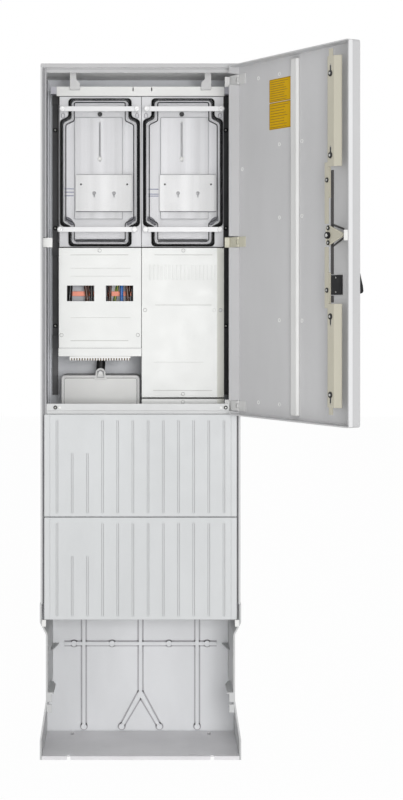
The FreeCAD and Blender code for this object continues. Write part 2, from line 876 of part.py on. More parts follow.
pocket(sill, "sill_hinge_notch", "XZ",
       rectangle(sill_half - mm.sill_notch, sill_half + 1, mm.hinge_bottom_z - hinge_room, sill_top + 1),
       depth(mm.lip_front - 1), depth(mm.lip_front + mm.sill_wall + 1))
keep("sill", sill)

# Sill screws: flanged heads whose shanks pass through the sill.
sill_screws = []
for side in (-1, 1):
    centre = (side * mm.sill_screw_x, mm.sill_bottom + mm.sill_screw_z)
    head = round_bar(f"sill_screw_head{side}", mm.sill_screw_radius,
                     (centre[0], depth(mm.lip_front - 3), centre[1]), sized(3), "y")
    recess = round_bar(f"sill_screw_recess{side}", mm.sill_screw_radius / 2,
                       (centre[0], depth(mm.lip_front - 4), centre[1]), sized(2.5), "y")
    sill_screws.append(cut(f"sill_screw{side}", head, [recess]))
keep("sill_screws", group("sill_screw_pair", sill_screws))


# Front panels: shallow moulded trays with flutes that keep bills from sticking.
def flute(body, name, x, bottom, top, face):
    """A round-ended groove in a front face that lies at this depth."""
    radius = mm.flute_width / 2
    level = depth(face + mm.flute_depth)
    sketch = outline(body, name, "XZ", [], level)
    x, bottom, top = sized(x), sized(bottom + radius), sized(top - radius)
    low, high = FreeCAD.Vector(x.value, bottom.value, 0), FreeCAD.Vector(x.value, top.value, 0)
    side = FreeCAD.Vector(radius.value, 0, 0)
    upper_end = Part.Circle(high, ALONG_Z, radius.value)
    lower_end = Part.Circle(low, ALONG_Z, radius.value)
    sketch.addGeometry(Part.LineSegment(low + side, high + side), False)
    sketch.addGeometry(Part.ArcOfCircle(upper_end, 0, math.pi), False)
    sketch.addGeometry(Part.LineSegment(high - side, low - side), False)
    sketch.addGeometry(Part.ArcOfCircle(lower_end, math.pi, 2 * math.pi), False)
    for first, second in ((0, 1), (1, 2), (2, 3), (3, 0)):
        sketch.addConstraint(Sketcher.Constraint("Tangent", first, 2, second, 1))
    for kind, item, size in (("DistanceX", 3, x), ("DistanceY", 3, bottom), ("DistanceY", 1, top)):
        number = sketch.addConstraint(Sketcher.Constraint(kind, -1, 1, item, 3, size.value))
        bind(sketch, f"Constraints[{number}]", size)
    number = sketch.addConstraint(Sketcher.Constraint("Radius", 3, radius.value))
    bind(sketch, f"Constraints[{number}]", radius)
    sketch.addConstraint(Sketcher.Constraint("Vertical", 0))
    return sink_from(body, sketch, sized(0), mm.flute_depth + 1)


def repeat_flute(body, feature, name, count):
    """Copies of a flute at the flute pitch towards +X."""
    pattern = body.newObject("PartDesign::LinearPattern", name)
    pattern.Originals = [feature]
    pattern.Direction = (feature.Profile[0], ["H_Axis"])
    bind(pattern, "Length", mm.flute_pitch * (count - 1))
    pattern.Occurrences = count
    body.Tip = pattern
    return pattern


def front_panel(label, top):
    bottom = top - mm.panel_height
    half = mm.panel_width / 2
    skin_back = mm.panel_setback + mm.panel_skin
    rear = mm.lip_front - mm.seat_gap
    body = new_body(label)
    pad(body, label + "_block", "XZ", rectangle(-half, half, bottom, top),
        depth(mm.panel_setback), depth(rear))
    round_edges(body, mm.panel_corner, ALONG_Y, lambda p: True, label + "_rounding")
    wall = mm.panel_skin
    pocket(body, label + "_hollow", "XZ",
           rectangle(-half + wall, half - wall, bottom + wall, top - wall),
           depth(skin_back), depth(rear + 1))
    flute_bottom, flute_top = bottom + mm.flute_bottom_margin, top - mm.flute_top_margin
    face = mm.panel_setback
    flute(body, label + "_first_flute", -5.5 * mm.flute_pitch, flute_bottom, flute_top, face)
    full = flute(body, label + "_flute", -2.5 * mm.flute_pitch, flute_bottom, flute_top, face)
    repeat_flute(body, full, label + "_flutes", 9)
    short = flute(body, label + "_short_flute", -4.5 * mm.flute_pitch, flute_bottom,
                  flute_top - mm.short_flute_cut, face)
    repeat_flute(body, short, label + "_short_flutes", 2)
    for side, word in ((-1, "_left_line"), (1, "_right_line")):
        x, half_line = side * mm.edge_line_x, mm.edge_line / 2
        line = rectangle(x - half_line, x + half_line, bottom - 1, top + 1)
        pocket(body, label + word, "XZ", line, depth(face - 1), depth(face + half_line))
    return keep(label, body)


front_panel("upper_front_panel", mm.panel_top)
lower_panel_top = mm.panel_top - mm.panel_height - mm.panel_joint
front_panel("lower_front_panel", lower_panel_top)
lower_panel_bottom = lower_panel_top - mm.panel_height

# Panel hooks: flat tongues over the front edge of the ground base, under the lower panel.
hooks = []
for side in (-1, 1):
    near, far = mm.hook_x - mm.hook_width / 2, mm.hook_x + mm.hook_width / 2
    span = (near, far) if side > 0 else (-far, -near)
    hooks.append(block(f"hook{side}", span,
                       (depth(-mm.hook_thickness - mm.seat_gap), depth(-mm.seat_gap)),
                       (lower_panel_bottom - mm.hook_height, lower_panel_bottom - mm.seat_gap)))
keep("panel_hooks", group("hook_pair", hooks))


# Ground base: two curved side walls, a ribbed back wall and a floor plate.
def base_wall_line(side, inset):
    """The curved line of the side wall in the front view, moved inwards by the inset."""
    outer, waist = mm.base_half - inset, mm.waist_half - inset
    return [
        (side * outer, sized(0)),
        (side * outer, mm.flare_top),
        (side * waist, mm.waist_bottom),
        (side * waist, mm.waist_top),
        (side * outer, mm.shoulder),
        (side * outer, mm.seam_height),
    ]


def in_bends(point):
    return 20 < point.z < mm.shoulder.value + 10


def base_side(side, label):
    line = base_wall_line(side, sized(0)) + base_wall_line(side, mm.base_wall)[::-1]
    body = new_body(label)
    pad(body, label + "_section", "XZ", line, front, back)
    round_edges(body, mm.base_bend, ALONG_Y, in_bends, label + "_bends")
    inner = mm.waist_half - mm.base_wall
    overlap = inner + mm.base_wall / 2
    gusset_start = back_face - mm.gusset_length
    pad(body, label + "_gusset", "XY", [
        (side * overlap, depth(gusset_start)),
        (side * inner, depth(gusset_start)),
        (side * (inner - mm.gusset_width), depth(back_face - mm.seat_gap)),
        (side * overlap, depth(back_face - mm.seat_gap)),
    ], mm.gusset_height - mm.web_thickness / 2, mm.gusset_height + mm.web_thickness / 2)
    pad(body, label + "_fin", "XY", [
        (side * overlap, depth(0)),
        (side * (inner - mm.fin_width), depth(0)),
        (side * (inner - mm.fin_width), depth(mm.fin_length * 0.7)),
        (side * (inner - mm.fin_width / 2), depth(mm.fin_length * 0.93)),
        (side * inner, depth(mm.fin_length)),
        (side * overlap, depth(mm.fin_length)),
    ], mm.fin_height, mm.fin_height + mm.web_thickness)
    for step in (1, 2):
        top = mm.fin_height - (step - 1) * (mm.lug_height + mm.lug_slot)
        tip = inner - mm.lug_width
        lug = [(side * overlap, top - mm.lug_height), (side * tip, top - mm.lug_height),
               (side * tip, top), (side * overlap, top)]
        pad(body, f"{label}_lug{step}", "XZ", lug, depth(0), depth(mm.web_thickness))
    return keep(label, body)


base_side(-1, "base_left_wall")
base_side(1, "base_right_wall")

base_back = new_body("base_back_wall")
back_inset = mm.base_wall + mm.seat_gap
back_line = base_wall_line(-1, back_inset) + base_wall_line(1, back_inset)[::-1]
pad(base_back, "base_back_plate", "XZ", back_line, depth(back_face), back)
round_edges(base_back, mm.base_bend, ALONG_Y, in_bends, "base_back_bends")
rib_front, rib_back = depth(back_face - mm.rib_proud), depth(back_face + 1)
rib_half = mm.rib_width / 2
rib_top = mm.seam_height - mm.shell_wall
for side, word in ((-1, "left"), (1, "right")):
    rib_x = side * mm.side_rib_x
    pad(base_back, word + "_side_rib", "XZ",
        rectangle(rib_x - rib_half, rib_x + rib_half, mm.rib_foot, rib_top), rib_front, rib_back)
    pad(base_back, word + "_fork_rib", "XZ", [
        (side * (mm.fork_x - rib_half), mm.rib_foot),
        (side * (mm.fork_x + rib_half), mm.rib_foot),
        (side * rib_half, mm.fork_height + mm.rib_width),
        (-side * rib_half, mm.fork_height + mm.rib_width),
        (-side * rib_half, mm.fork_height),
    ], rib_front, rib_back)
pad(base_back, "centre_rib", "XZ", rectangle(-rib_half, rib_half, mm.fork_height, rib_top),
    rib_front, rib_back)
cross_half = mm.cross_rib_half - mm.gusset_width
pad(base_back, "cross_rib", "XZ",
    rectangle(-cross_half, cross_half, mm.gusset_height - rib_half, mm.gusset_height + rib_half),
    rib_front, rib_back)
boss_places = [(side * x, z) for side in (-1, 1) for x, z in (
    (mm.boss_outer_x, mm.gusset_height), (mm.boss_inner_x, mm.gusset_height),
    (mm.side_rib_x, mm.rib_foot), (mm.fork_x, mm.rib_foot))]
bosses = disc_outline(base_back, "bosses", "XZ", boss_places, mm.boss_radius, rib_back)
raise_from(base_back, bosses, rib_front - 1, rib_back)
keep("base_back_wall", base_back)

floor = new_body("floor_plate")
floor_half = mm.base_half - mm.base_wall - mm.seat_gap
floor_rear = back_face - mm.rib_proud - 1 - mm.seat_gap
pad(floor, "floor_block", "XY",
    rectangle(-floor_half, floor_half, depth(mm.seat_gap), depth(floor_rear)), sized(0), mm.floor_height)
pocket(floor, "floor_hollow", "XY",
       rectangle(-floor_half + mm.floor_skirt, floor_half - mm.floor_skirt,
                 depth(mm.floor_skirt), depth(floor_rear - mm.floor_skirt)),
       sized(-1), mm.floor_height - mm.floor_thickness)
floor_rib_half = mm.floor_rib / 2
inner_x = floor_half - mm.floor_skirt + 1
inner_front = mm.floor_skirt - 1
inner_rear = floor_rear - mm.floor_skirt + 1
pad(floor, "floor_cross_rib", "XY", rectangle(-inner_x, inner_x, -floor_rib_half, floor_rib_half),
    sized(0), mm.floor_height - 1)
pad(floor, "floor_long_rib", "XY",
    rectangle(-floor_rib_half, floor_rib_half, depth(inner_front), depth(inner_rear)),
    sized(0), mm.floor_height - 1)
slot_half, drain_half = mm.anchor_slot_width / 2, mm.drain_slot_length / 2
slot_end = floor_rear - mm.anchor_slot_back
for side, word in ((-1, "left"), (1, "right")):
    x = side * mm.anchor_slot_x
    pocket(floor, word + "_anchor_slot", "XY",
           rectangle(x - slot_half, x + slot_half,
                     depth(slot_end - mm.anchor_slot_length), depth(slot_end)),
           sized(-1), mm.floor_height + 1)
    pocket(floor, word + "_front_notch", "XY",
           rectangle(x - slot_half, x + slot_half, depth(-1), depth(mm.anchor_slot_width)),
           sized(-1), mm.floor_height + 1)
    x = side * mm.drain_slot_x
    pocket(floor, word + "_drain_slot", "XY",
           rectangle(x - drain_half, x + drain_half, depth(mm.drain_slot_depth),
                     depth(mm.drain_slot_depth + mm.drain_slot_width)),
           sized(-1), mm.floor_height + 1)
keep("floor_plate", floor)

# Mounting rails: upright channels on the back wall, with a row of ring-headed screws.
rail_outer_x = mm.rail_inner_x + mm.rail_width
rail_rear = back_face - mm.seat_gap
rails, rail_screws = [], []
for side, word in ((-1, "left"), (1, "right")):
    inner, outer = side * mm.rail_inner_x, side * rail_outer_x
    step = side * mm.rail_wall
    rail = new_body(word + "_rail")
    pad(rail, word + "_rail_section", "XY", [
        (inner, depth(mm.rail_front)), (outer, depth(mm.rail_front)), (outer, depth(rail_rear)),
        (outer - step, depth(rail_rear)), (outer - step, depth(mm.rail_front + mm.rail_wall)),
        (inner + step, depth(mm.rail_front + mm.rail_wall)), (inner + step, depth(rail_rear)),
        (inner, depth(rail_rear)),
    ], mm.rail_bottom, mm.rail_top)
    rails.append(rail)
    for row in range(3):
        centre = side * (mm.rail_inner_x + mm.rail_width / 2)
        z = mm.rail_screw_low + row * mm.rail_screw_pitch
        head = round_bar(f"{word}_rail_head{row}", mm.rail_screw_radius,
                         (centre, depth(mm.rail_front - 3), z), sized(3), "y")
        recess = round_bar(f"{word}_rail_recess{row}", mm.rail_screw_radius / 2,
                           (centre, depth(mm.rail_front - 4), z), sized(2.5), "y")
        rail_screws.append(cut(f"{word}_rail_screw{row}", head, [recess]))
keep("mounting_rails", group("rail_pair", rails))
keep("rail_screws", group("rail_screw_set", rail_screws))

# Cross rails: flat bars across the upright rails that carry the fields.
cross_front = mm.rail_front - mm.cross_rail_depth - mm.seat_gap
field_rear = cross_front - mm.seat_gap
cross_span = (depth(cross_front), depth(mm.rail_front - mm.seat_gap))
cross_rails = []
for word, z, left in (("top", mm.top_rail_z, -rail_outer_x),
                      ("middle", mm.middle_rail_z, -rail_outer_x),
                      ("fuse", mm.fuse_rail_z, -rail_outer_x),
                      ("bottom", mm.bottom_rail_z, mm.field_shift)):
    cross_rails.append(block(word + "_cross_rail", (left, rail_outer_x), cross_span,
                             (z - mm.cross_rail_height / 2, z + mm.cross_rail_height / 2)))
keep("cross_rails", group("cross_rail_set", cross_rails))

# White band over the meters, its end blocks and the two brackets up to the roof.
band_bottom = mm.meter_top + 1.5
band_top = band_bottom + mm.band_height
band = new_body("top_band")
pad(band, "band_section", "YZ", [
    (depth(mm.band_front), band_bottom),
    (depth(mm.band_front), band_top),
    (depth(field_rear), band_top),
    (depth(field_rear), band_top - mm.band_wall),
    (depth(mm.band_front + mm.band_wall), band_top - mm.band_wall),
    (depth(mm.band_front + mm.band_wall), band_bottom),
], -mm.band_half, mm.band_half)
for word, x in (("left", -mm.band_slot_left), ("right", mm.band_slot_right)):
    pocket(band, word + "_band_slot", "XZ",
           rectangle(x - mm.band_slot_width / 2, x + mm.band_slot_width / 2,
                     band_top - mm.band_slot_height, band_top + 1),
           depth(mm.band_front - 1), depth(mm.band_front + mm.band_wall + 1))
keep("top_band", band)

end_blocks, brackets = [], []
for side, word in ((-1, "left"), (1, "right")):
    near = mm.band_half + mm.seat_gap
    span = (near, near + mm.end_block_width) if side > 0 else (-near - mm.end_block_width, -near)
    end_blocks.append(block(word + "_end_block", span, (depth(mm.band_front), depth(mm.band_front + 35)),
                            (band_top - mm.end_block_height, band_top)))
    bracket = new_body(word + "_bracket")
    head_bottom = mm.roof_underside - mm.seat_gap - mm.bracket_head
    base_top = head_bottom - mm.bracket_slant
    pad(bracket, word + "_bracket_shape", "XZ", [
        (side * mm.bracket_inner, head_bottom),
        (side * mm.bracket_inner, mm.roof_underside - mm.seat_gap),
        (side * mm.bracket_outer, mm.roof_underside - mm.seat_gap),
        (side * mm.bracket_outer, base_top - mm.bracket_base),
        (side * (mm.bracket_inner - mm.bracket_foot), base_top - mm.bracket_base),
        (side * (mm.bracket_inner - mm.bracket_foot), base_top),
    ], depth(mm.band_front - mm.seat_gap - mm.bracket_thickness), depth(mm.band_front - mm.seat_gap))
    brackets.append(bracket)
keep("band_end_blocks", group("end_block_pair", end_blocks))
keep("roof_brackets", group("bracket_pair", brackets))


# Meter fields: an insulating tray, a gasket and a clear hood held by knobs through two bars.
def hood_line(centre, side_inset, end_inset):
    """The stepped outline of a hood, moved inwards by the insets."""
    wide, neck = mm.hood_half - side_inset, mm.hood_neck_half - side_inset
    low, high = mm.hood_bottom + end_inset, mm.hood_top - end_inset
    right = [
        (neck, low), (neck, mm.hood_shoulder_bottom + end_inset),
        (wide, mm.hood_shoulder_bottom + mm.hood_slant + end_inset),
        (wide, mm.hood_shoulder_top - mm.hood_slant - end_inset),
        (neck, mm.hood_shoulder_top - end_inset), (neck, high),
    ]
    left = [(-x, z) for x, z in right[::-1]]
    return [(centre + x, z) for x, z in right + left]


knob_places = []


def meter_field(word, side):
    centre = mm.field_shift + side * mm.field_pitch / 2
    hood_centre = centre + side * mm.hood_spread
    half = mm.meter_width / 2
    well_floor = mm.meter_front + mm.meter_well

    def in_well(point):
        return abs(point.x - centre.value) < half.value - 0.5

    tray = new_body(word + "_meter_tray")
    pad(tray, word + "_tray_block", "XZ",
        rectangle(centre - half, centre + half, mm.meter_bottom, mm.meter_top),
        depth(mm.meter_front), depth(field_rear))
    pocket(tray, word + "_tray_well", "XZ", hood_line(hood_centre, mm.well_inset, mm.well_inset),
           depth(mm.meter_front - 1), depth(well_floor))
    round_edges(tray, mm.hood_corner, ALONG_Y, in_well, word + "_well_rounding")
    rear = well_floor + mm.meter_wall
    inner = half - mm.meter_wall
    pocket(tray, word + "_tray_rear", "XZ",
           rectangle(centre - inner, centre + inner,
                     mm.meter_bottom + mm.meter_wall, mm.meter_top - mm.meter_wall),
           depth(rear), depth(field_rear + 1))
    slot_low = mm.slot_band_z - mm.slot_band_height / 2
    pocket(tray, word + "_tray_slot", "XZ",
           rectangle(hood_centre - mm.slot_band_half, hood_centre + mm.slot_band_half,
                     slot_low, slot_low + mm.slot_band_height),
           depth(well_floor - 1), depth(rear + 1))
    ring_centres = [(hood_centre + turn * mm.knob_half_spacing, mm.knob_top_z - mm.ring_drop)
                    for turn in (-1, 1)]
    rings = disc_outline(tray, word + "_rings", "XZ", ring_centres, mm.ring_radius,
                         depth(mm.meter_front + 1))
    raise_from(tray, rings, depth(mm.meter_front - mm.ring_height), depth(mm.meter_front + 1))
    holes = disc_outline(tray, word + "_ring_holes", "XZ", ring_centres, mm.ring_radius - mm.ring_wall,
                         depth(mm.meter_front - 0.5))
    sink_from(tray, holes, depth(mm.meter_front - mm.ring_height - 1), depth(mm.meter_front - 0.5))
    trays.append(tray)

    gasket = new_body(word + "_meter_gasket")
    span = (depth(mm.hood_back + mm.seat_gap), depth(mm.meter_front - mm.seat_gap))
    pad(gasket, word + "_gasket_outer", "XZ",
        hood_line(hood_centre, -mm.gasket_outward, -mm.gasket_end), *span)
    pocket(gasket, word + "_gasket_inner", "XZ",
           hood_line(hood_centre, mm.gasket_inward, mm.gasket_inward), span[0] - 1, span[1] + 1)
    round_edges(gasket, mm.hood_corner, ALONG_Y, lambda p: True, word + "_gasket_rounding")
    gaskets.append(gasket)

    hood = new_body(word + "_meter_hood")
    pad(hood, word + "_hood_block", "XZ", hood_line(hood_centre, sized(0), sized(0)),
        depth(mm.hood_front), depth(mm.hood_back))
    pocket(hood, word + "_hood_hollow", "XZ", hood_line(hood_centre, mm.hood_wall, mm.hood_wall),
           depth(mm.hood_front + mm.hood_wall), depth(mm.hood_back + 1))
    round_edges(hood, mm.hood_corner, ALONG_Y, lambda p: True, word + "_hood_rounding")
    hoods.append(hood)

    carrier_x = centre + side * mm.carrier_shift
    carrier = new_body(word + "_meter_carrier")
    left, right = carrier_x - mm.carrier_half, carrier_x + mm.carrier_half
    carrier_front = well_floor - mm.seat_gap - mm.carrier_depth
    carrier_seat = well_floor - mm.seat_gap
    pad(carrier, word + "_carrier_channel", "XY", [
        (left, depth(carrier_seat)),
        (left, depth(carrier_front)),
        (right, depth(carrier_front)),
        (right, depth(carrier_seat)),
        (right - mm.sheet_wall, depth(carrier_seat)),
        (right - mm.sheet_wall, depth(carrier_front + mm.sheet_wall)),
        (left + mm.sheet_wall, depth(carrier_front + mm.sheet_wall)),
        (left + mm.sheet_wall, depth(carrier_seat)),
    ], mm.carrier_bottom, mm.carrier_top)
    slot_x, slot_half = centre - mm.carrier_slot_shift, mm.carrier_slot_width / 2
    pocket(carrier, word + "_carrier_slot", "XZ",
           rectangle(slot_x - slot_half, slot_x + slot_half, mm.carrier_slot_bottom, mm.carrier_slot_top),
           depth(carrier_front - 1), depth(carrier_front + mm.sheet_wall + 1))
    carriers.append(carrier)

    plate_x = centre + mm.terminal_shift + side * mm.terminal_spread
    plate_front = carrier_front - mm.seat_gap - mm.terminal_depth
    left_seat = carrier_front - mm.seat_gap if side < 0 else carrier_seat
    plate = new_body(word + "_terminal_plate")
    left, right = plate_x - mm.terminal_half, plate_x + mm.terminal_half
    pad(plate, word + "_plate_channel", "XY", [
        (left, depth(left_seat)),
        (left, depth(plate_front)),
        (right, depth(plate_front)),
        (right, depth(carrier_seat)),
        (right - mm.sheet_wall, depth(carrier_seat)),
        (right - mm.sheet_wall, depth(plate_front + mm.sheet_wall)),
        (left + mm.sheet_wall, depth(plate_front + mm.sheet_wall)),
        (left + mm.sheet_wall, depth(left_seat)),
    ], mm.terminal_bottom, mm.terminal_top)
    for hole_word, spread, radius, z in (
            ("fixing", mm.terminal_hole_half, mm.terminal_hole_radius, mm.terminal_hole_z),
            ("keyhole", mm.keyhole_half, mm.keyhole_radius, mm.keyhole_z)):
        holes = disc_outline(plate, f"{word}_{hole_word}s", "XZ",
                             [(plate_x - spread, z), (plate_x + spread, z)], radius,
                             depth(plate_front + mm.sheet_wall + 1))
        sink_from(plate, holes, depth(plate_front - 1), depth(plate_front + mm.sheet_wall + 1))
    for turn, hand in ((-1, "left"), (1, "right")):
        x = plate_x + turn * mm.keyhole_half
        narrow = mm.keyhole_radius / 2
        pocket(plate, f"{word}_{hand}_keyhole_slot", "XZ",
               rectangle(x - narrow, x + narrow, mm.keyhole_z - mm.keyhole_slot, mm.keyhole_z),
               depth(plate_front - 1), depth(plate_front + mm.sheet_wall + 1))
    plates.append(plate)

    knobs = []
    top_centre = centre + mm.top_knob_shift + side * mm.top_knob_spread
    lower_centre = centre + mm.lower_knob_shift + side * mm.lower_knob_spread
    for row, z, bar_centre in (("top", mm.knob_top_z, top_centre),
                               ("bottom", mm.knob_bottom_z, lower_centre)):
        xs = [bar_centre + turn * mm.knob_half_spacing for turn in (-1, 1)]
        bar_rear = mm.hood_front - mm.seat_gap
        bar_front = bar_rear - mm.bar_thickness
        bar = block(f"{word}_{row}_bar_block", (xs[0] - mm.bar_end, xs[1] + mm.bar_end),
                    (depth(bar_front), depth(bar_rear)), (z - mm.bar_height / 2, z + mm.bar_height / 2))
        holes = []
        for x, hand in zip(xs, ("left", "right")):
            holes.append(round_bar(f"{word}_{row}_{hand}_bar_hole", mm.knob_stem + mm.knob_clearance,
                                   (x, depth(bar_front - 1), z), mm.bar_thickness + 2, "y"))
            cap_front = bar_front - mm.seat_gap - mm.knob_height
            cap = round_bar(f"{word}_{row}_{hand}_cap", mm.knob_radius, (x, depth(cap_front), z),
                            mm.knob_height, "y")
            dimple = round_bar(f"{word}_{row}_{hand}_dimple", mm.knob_radius / 3,
                               (x, depth(cap_front - 1), z), sized(3), "y")
            stem = round_bar(f"{word}_{row}_{hand}_stem", mm.knob_stem, (x, depth(cap_front + 4), z),
                             mm.meter_front - mm.seat_gap - cap_front - 4, "y")
            whole = join(f"{word}_{row}_{hand}_knob_body", [cap, stem])
            knobs.append(cut(f"{word}_{row}_{hand}_knob", whole, [dimple]))
        bars.append(cut(f"{word}_{row}_bar", bar, holes))
    knob_places.extend(knobs)

    slider_z = mm.carrier_slot_bottom + 8
    slider_stem = round_bar(word + "_slider_stem", mm.slider_radius / 3,
                            (slot_x, depth(carrier_front - 2), slider_z), mm.sheet_wall + 4, "y")
    slider_head = round_bar(word + "_slider_head", mm.slider_radius,
                            (slot_x, depth(carrier_front - mm.seat_gap - 4), slider_z), sized(4), "y")
    sliders.append(join(word + "_slider", [slider_head, slider_stem]))
    for turn, hand in ((-1, "left"), (1, "right")):
        grommet_y = depth(carrier_seat - mm.grommet_thickness)
        grommets.append(round_bar(f"{word}_{hand}_grommet", mm.grommet_radius,
                                  (hood_centre + turn * mm.grommet_half, grommet_y, mm.grommet_z),
                                  mm.grommet_thickness, "y"))


trays, gaskets, hoods, carriers, plates = [], [], [], [], []
bars, sliders, grommets = [], [], []
meter_field("left", -1)
meter_field("right", 1)
keep("meter_trays", group("tray_pair", trays))
keep("meter_gaskets", group("gasket_pair", gaskets))
keep("meter_hoods", group("hood_pair", hoods))
keep("meter_carriers", group("carrier_pair", carriers))
keep("terminal_plates", group("plate_pair", plates))
keep("hood_bars", group("hood_bar_set", bars))
keep("hood_knobs", group("hood_knob_set", knob_places))
keep("slider_screws", group("slider_pair", sliders))
keep("cable_grommets", group("grommet_set", grommets))

# Covers of the lower fields: deep trays screwed to dark frames that stand on the cross rails.
left_centre = mm.field_shift - mm.field_pitch / 2
right_centre = mm.field_shift + mm.field_pitch / 2
cover_half = mm.meter_width / 2
cover_rear = mm.cover_front + mm.cover_depth
cover_screws = []


def screw_hole_points(points):
    """Screw places as (x, z) pairs, kept for the screws too."""
    for x, z in points:
        number = len(cover_screws)
        head = round_bar(f"cover_screw_head{number}", mm.cover_screw_radius,
                         (x, depth(mm.cover_front - mm.cover_screw_head), z), mm.cover_screw_head, "y")
        shank = round_bar(f"cover_screw_shank{number}", mm.cover_screw_shank,
                          (x, depth(mm.cover_front - 1), z), mm.cover_screw_length, "y")
        cover_screws.append(join(f"cover_screw{number}", [head, shank]))
    return points


def screw_holes(body, name, points):
    """Clearance holes through a cover's front skin."""
    level = depth(mm.cover_front + mm.cover_wall + 1)
    radius = mm.cover_screw_shank + mm.seat_gap
    holes = disc_outline(body, name, "XZ", screw_hole_points(points), radius, level)
    sink_from(body, holes, depth(mm.cover_front - 1), level)


fuse = new_body("fuse_cover")
fuse_left, fuse_right = left_centre - cover_half, left_centre + cover_half
pad(fuse, "fuse_cover_block", "XZ", rectangle(fuse_left, fuse_right, mm.fuse_cover_bottom, mm.cover_top),
    depth(mm.cover_front), depth(cover_rear))
pocket(fuse, "fuse_cover_hollow", "XZ",
       rectangle(fuse_left + mm.cover_wall, fuse_right - mm.cover_wall, mm.fuse_cover_bottom - 1,
                 mm.cover_top - mm.cover_wall),
       depth(mm.cover_front + mm.cover_wall), depth(cover_rear + 1))
flange_front = mm.cover_front - mm.fuse_flange_proud
pad(fuse, "fuse_cover_flange", "XZ",
    rectangle(fuse_left - 1, fuse_right + 0.5,
              mm.fuse_cover_bottom - mm.fuse_flange_height, mm.fuse_cover_bottom),
    depth(flange_front), depth(mm.cover_front + mm.cover_wall))
for word, side in (("left", -1), ("right", 1)):
    middle = left_centre + side * (mm.window_gap + mm.window_width) / 2
    pocket(fuse, word + "_window", "XZ",
           rectangle(middle - mm.window_width / 2, middle + mm.window_width / 2, mm.window_bottom,
                     mm.window_bottom + mm.window_height),
           depth(mm.cover_front - 1), depth(mm.cover_front + mm.cover_wall + 1))
screw_holes(fuse, "fuse_cover_holes", [
    (left_centre, mm.cover_top - mm.cover_screw_inset),
    (fuse_left + mm.cover_screw_side, mm.fuse_screw_z),
    (fuse_right - mm.cover_screw_side, mm.fuse_screw_z),
])
keep("fuse_cover", fuse)


def sloped_section(inset):
    """Section of the right-hand covers, whose right edge slopes back."""
    left, right = right_centre - cover_half + inset, right_centre + cover_half - inset
    face = mm.cover_front + inset
    return [(left, depth(cover_rear)), (left, depth(face)), (right - mm.slope_width, depth(face)),
            (right, depth(face + mm.slope_drop)), (right, depth(cover_rear))]


def sloped_cover(label, bottom, top, closed_bottom):
    body = new_body(label)
    section = sloped_section(sized(0)) + sloped_section(mm.cover_wall)[::-1]
    pad(body, label + "_walls", "XY", section, bottom, top)
    pad(body, label + "_top", "XY", sloped_section(sized(0)), top - mm.cover_wall, top)
    if closed_bottom:
        pad(body, label + "_bottom", "XY", sloped_section(sized(0)), bottom, bottom + mm.cover_wall)
    return body


blank = sloped_cover("blank_cover", mm.blank_cover_bottom, mm.cover_top, True)
vent_x = right_centre - cover_half + mm.vent_left
vent = pocket(blank, "vent", "XZ",
              rectangle(vent_x, vent_x + mm.vent_width, mm.vent_bottom, mm.vent_bottom + mm.vent_height),
              depth(mm.cover_front - 1), depth(mm.cover_front + mm.vent_depth))
vents = blank.newObject("PartDesign::LinearPattern", "vents")
vents.Originals = [vent]
vents.Direction = (vent.Profile[0], ["H_Axis"])
bind(vents, "Length", mm.vent_pitch * 17)
vents.Occurrences = 18
blank.Tip = vents
screw_holes(blank, "blank_cover_holes", [
    (right_centre, mm.cover_top - mm.cover_screw_inset),
    (right_centre, mm.blank_cover_bottom + mm.cover_screw_inset),
    (right_centre - cover_half + mm.cover_screw_side, mm.blank_screw_z),
    (right_centre + cover_half - mm.slope_width - mm.cover_screw_side, mm.blank_screw_z),
])
keep("blank_cover", blank)

lower = sloped_cover("lower_cover", mm.lower_cover_bottom, mm.lower_cover_top, False)
screw_holes(lower, "lower_cover_holes", [(right_centre, mm.lower_cover_top - mm.cover_screw_inset)])
keep("lower_cover", lower)
keep("cover_screws", group("cover_screw_set", cover_screws))


# Field frames: dark rings that hold the covers off the cross rails.
def field_frame(word, centre, bottom, top):
    half = cover_half - mm.frame_inset
    span = (depth(cover_rear + mm.seat_gap), depth(field_rear))
    outer = block(word + "_frame_outer", (centre - half, centre + half), span, (bottom, top))
    wall = mm.frame_wall
    hollow = block(word + "_frame_hollow", (centre - half + wall, centre + half - wall),
                   (span[0] - 1, span[1] + 1), (bottom + wall, top - wall))
    tools = [hollow]
    if word == "fuse":
        tools.append(block("frame_cable_way",
                           (-mm.cable_top_x - mm.cable_way, -mm.cable_top_x + mm.cable_way),
                           (depth(mm.cable_depth) - mm.cable_way, span[1] + 1),
                           (bottom - 1, bottom + wall + 1)))
    return cut(word + "_frame", outer, tools)


fuse_frame_top = mm.cover_top - mm.frame_inset
keep("field_frames", group("frame_pair", [
    field_frame("fuse", left_centre, mm.fuse_cover_bottom + mm.frame_inset, fuse_frame_top),
    field_frame("blank", right_centre, mm.lower_cover_bottom + mm.frame_inset, fuse_frame_top),
]))

# Busbars behind the windows, on two slotted holders and a back plate.
plate_half = cover_half - mm.frame_inset - mm.frame_wall - mm.seat_gap
bus_rear = field_rear
bus_plate = block("bus_plate_block", (left_centre - plate_half, left_centre + plate_half),
                  (depth(bus_rear - mm.bus_plate), depth(bus_rear)),
                  (mm.fuse_cover_bottom + mm.frame_inset + mm.frame_wall + mm.seat_gap,
                   fuse_frame_top - mm.frame_wall - mm.seat_gap))
clamp = block("supply_clamp", (-mm.cable_top_x - mm.clamp_half, -mm.cable_top_x + mm.clamp_half),
              (depth(mm.clamp_front), depth(bus_rear - mm.bus_plate + 1)),
              (mm.cable_top_z + mm.seat_gap + 1, mm.cable_top_z + mm.clamp_height))
keep("busbar_plate", join("bus_plate_with_clamp", [bus_plate, clamp]))
bar_levels = [mm.busbar_z + row * mm.busbar_pitch for row in range(5)]
bar_half = mm.busbar_height / 2
busbars, holders = [], []
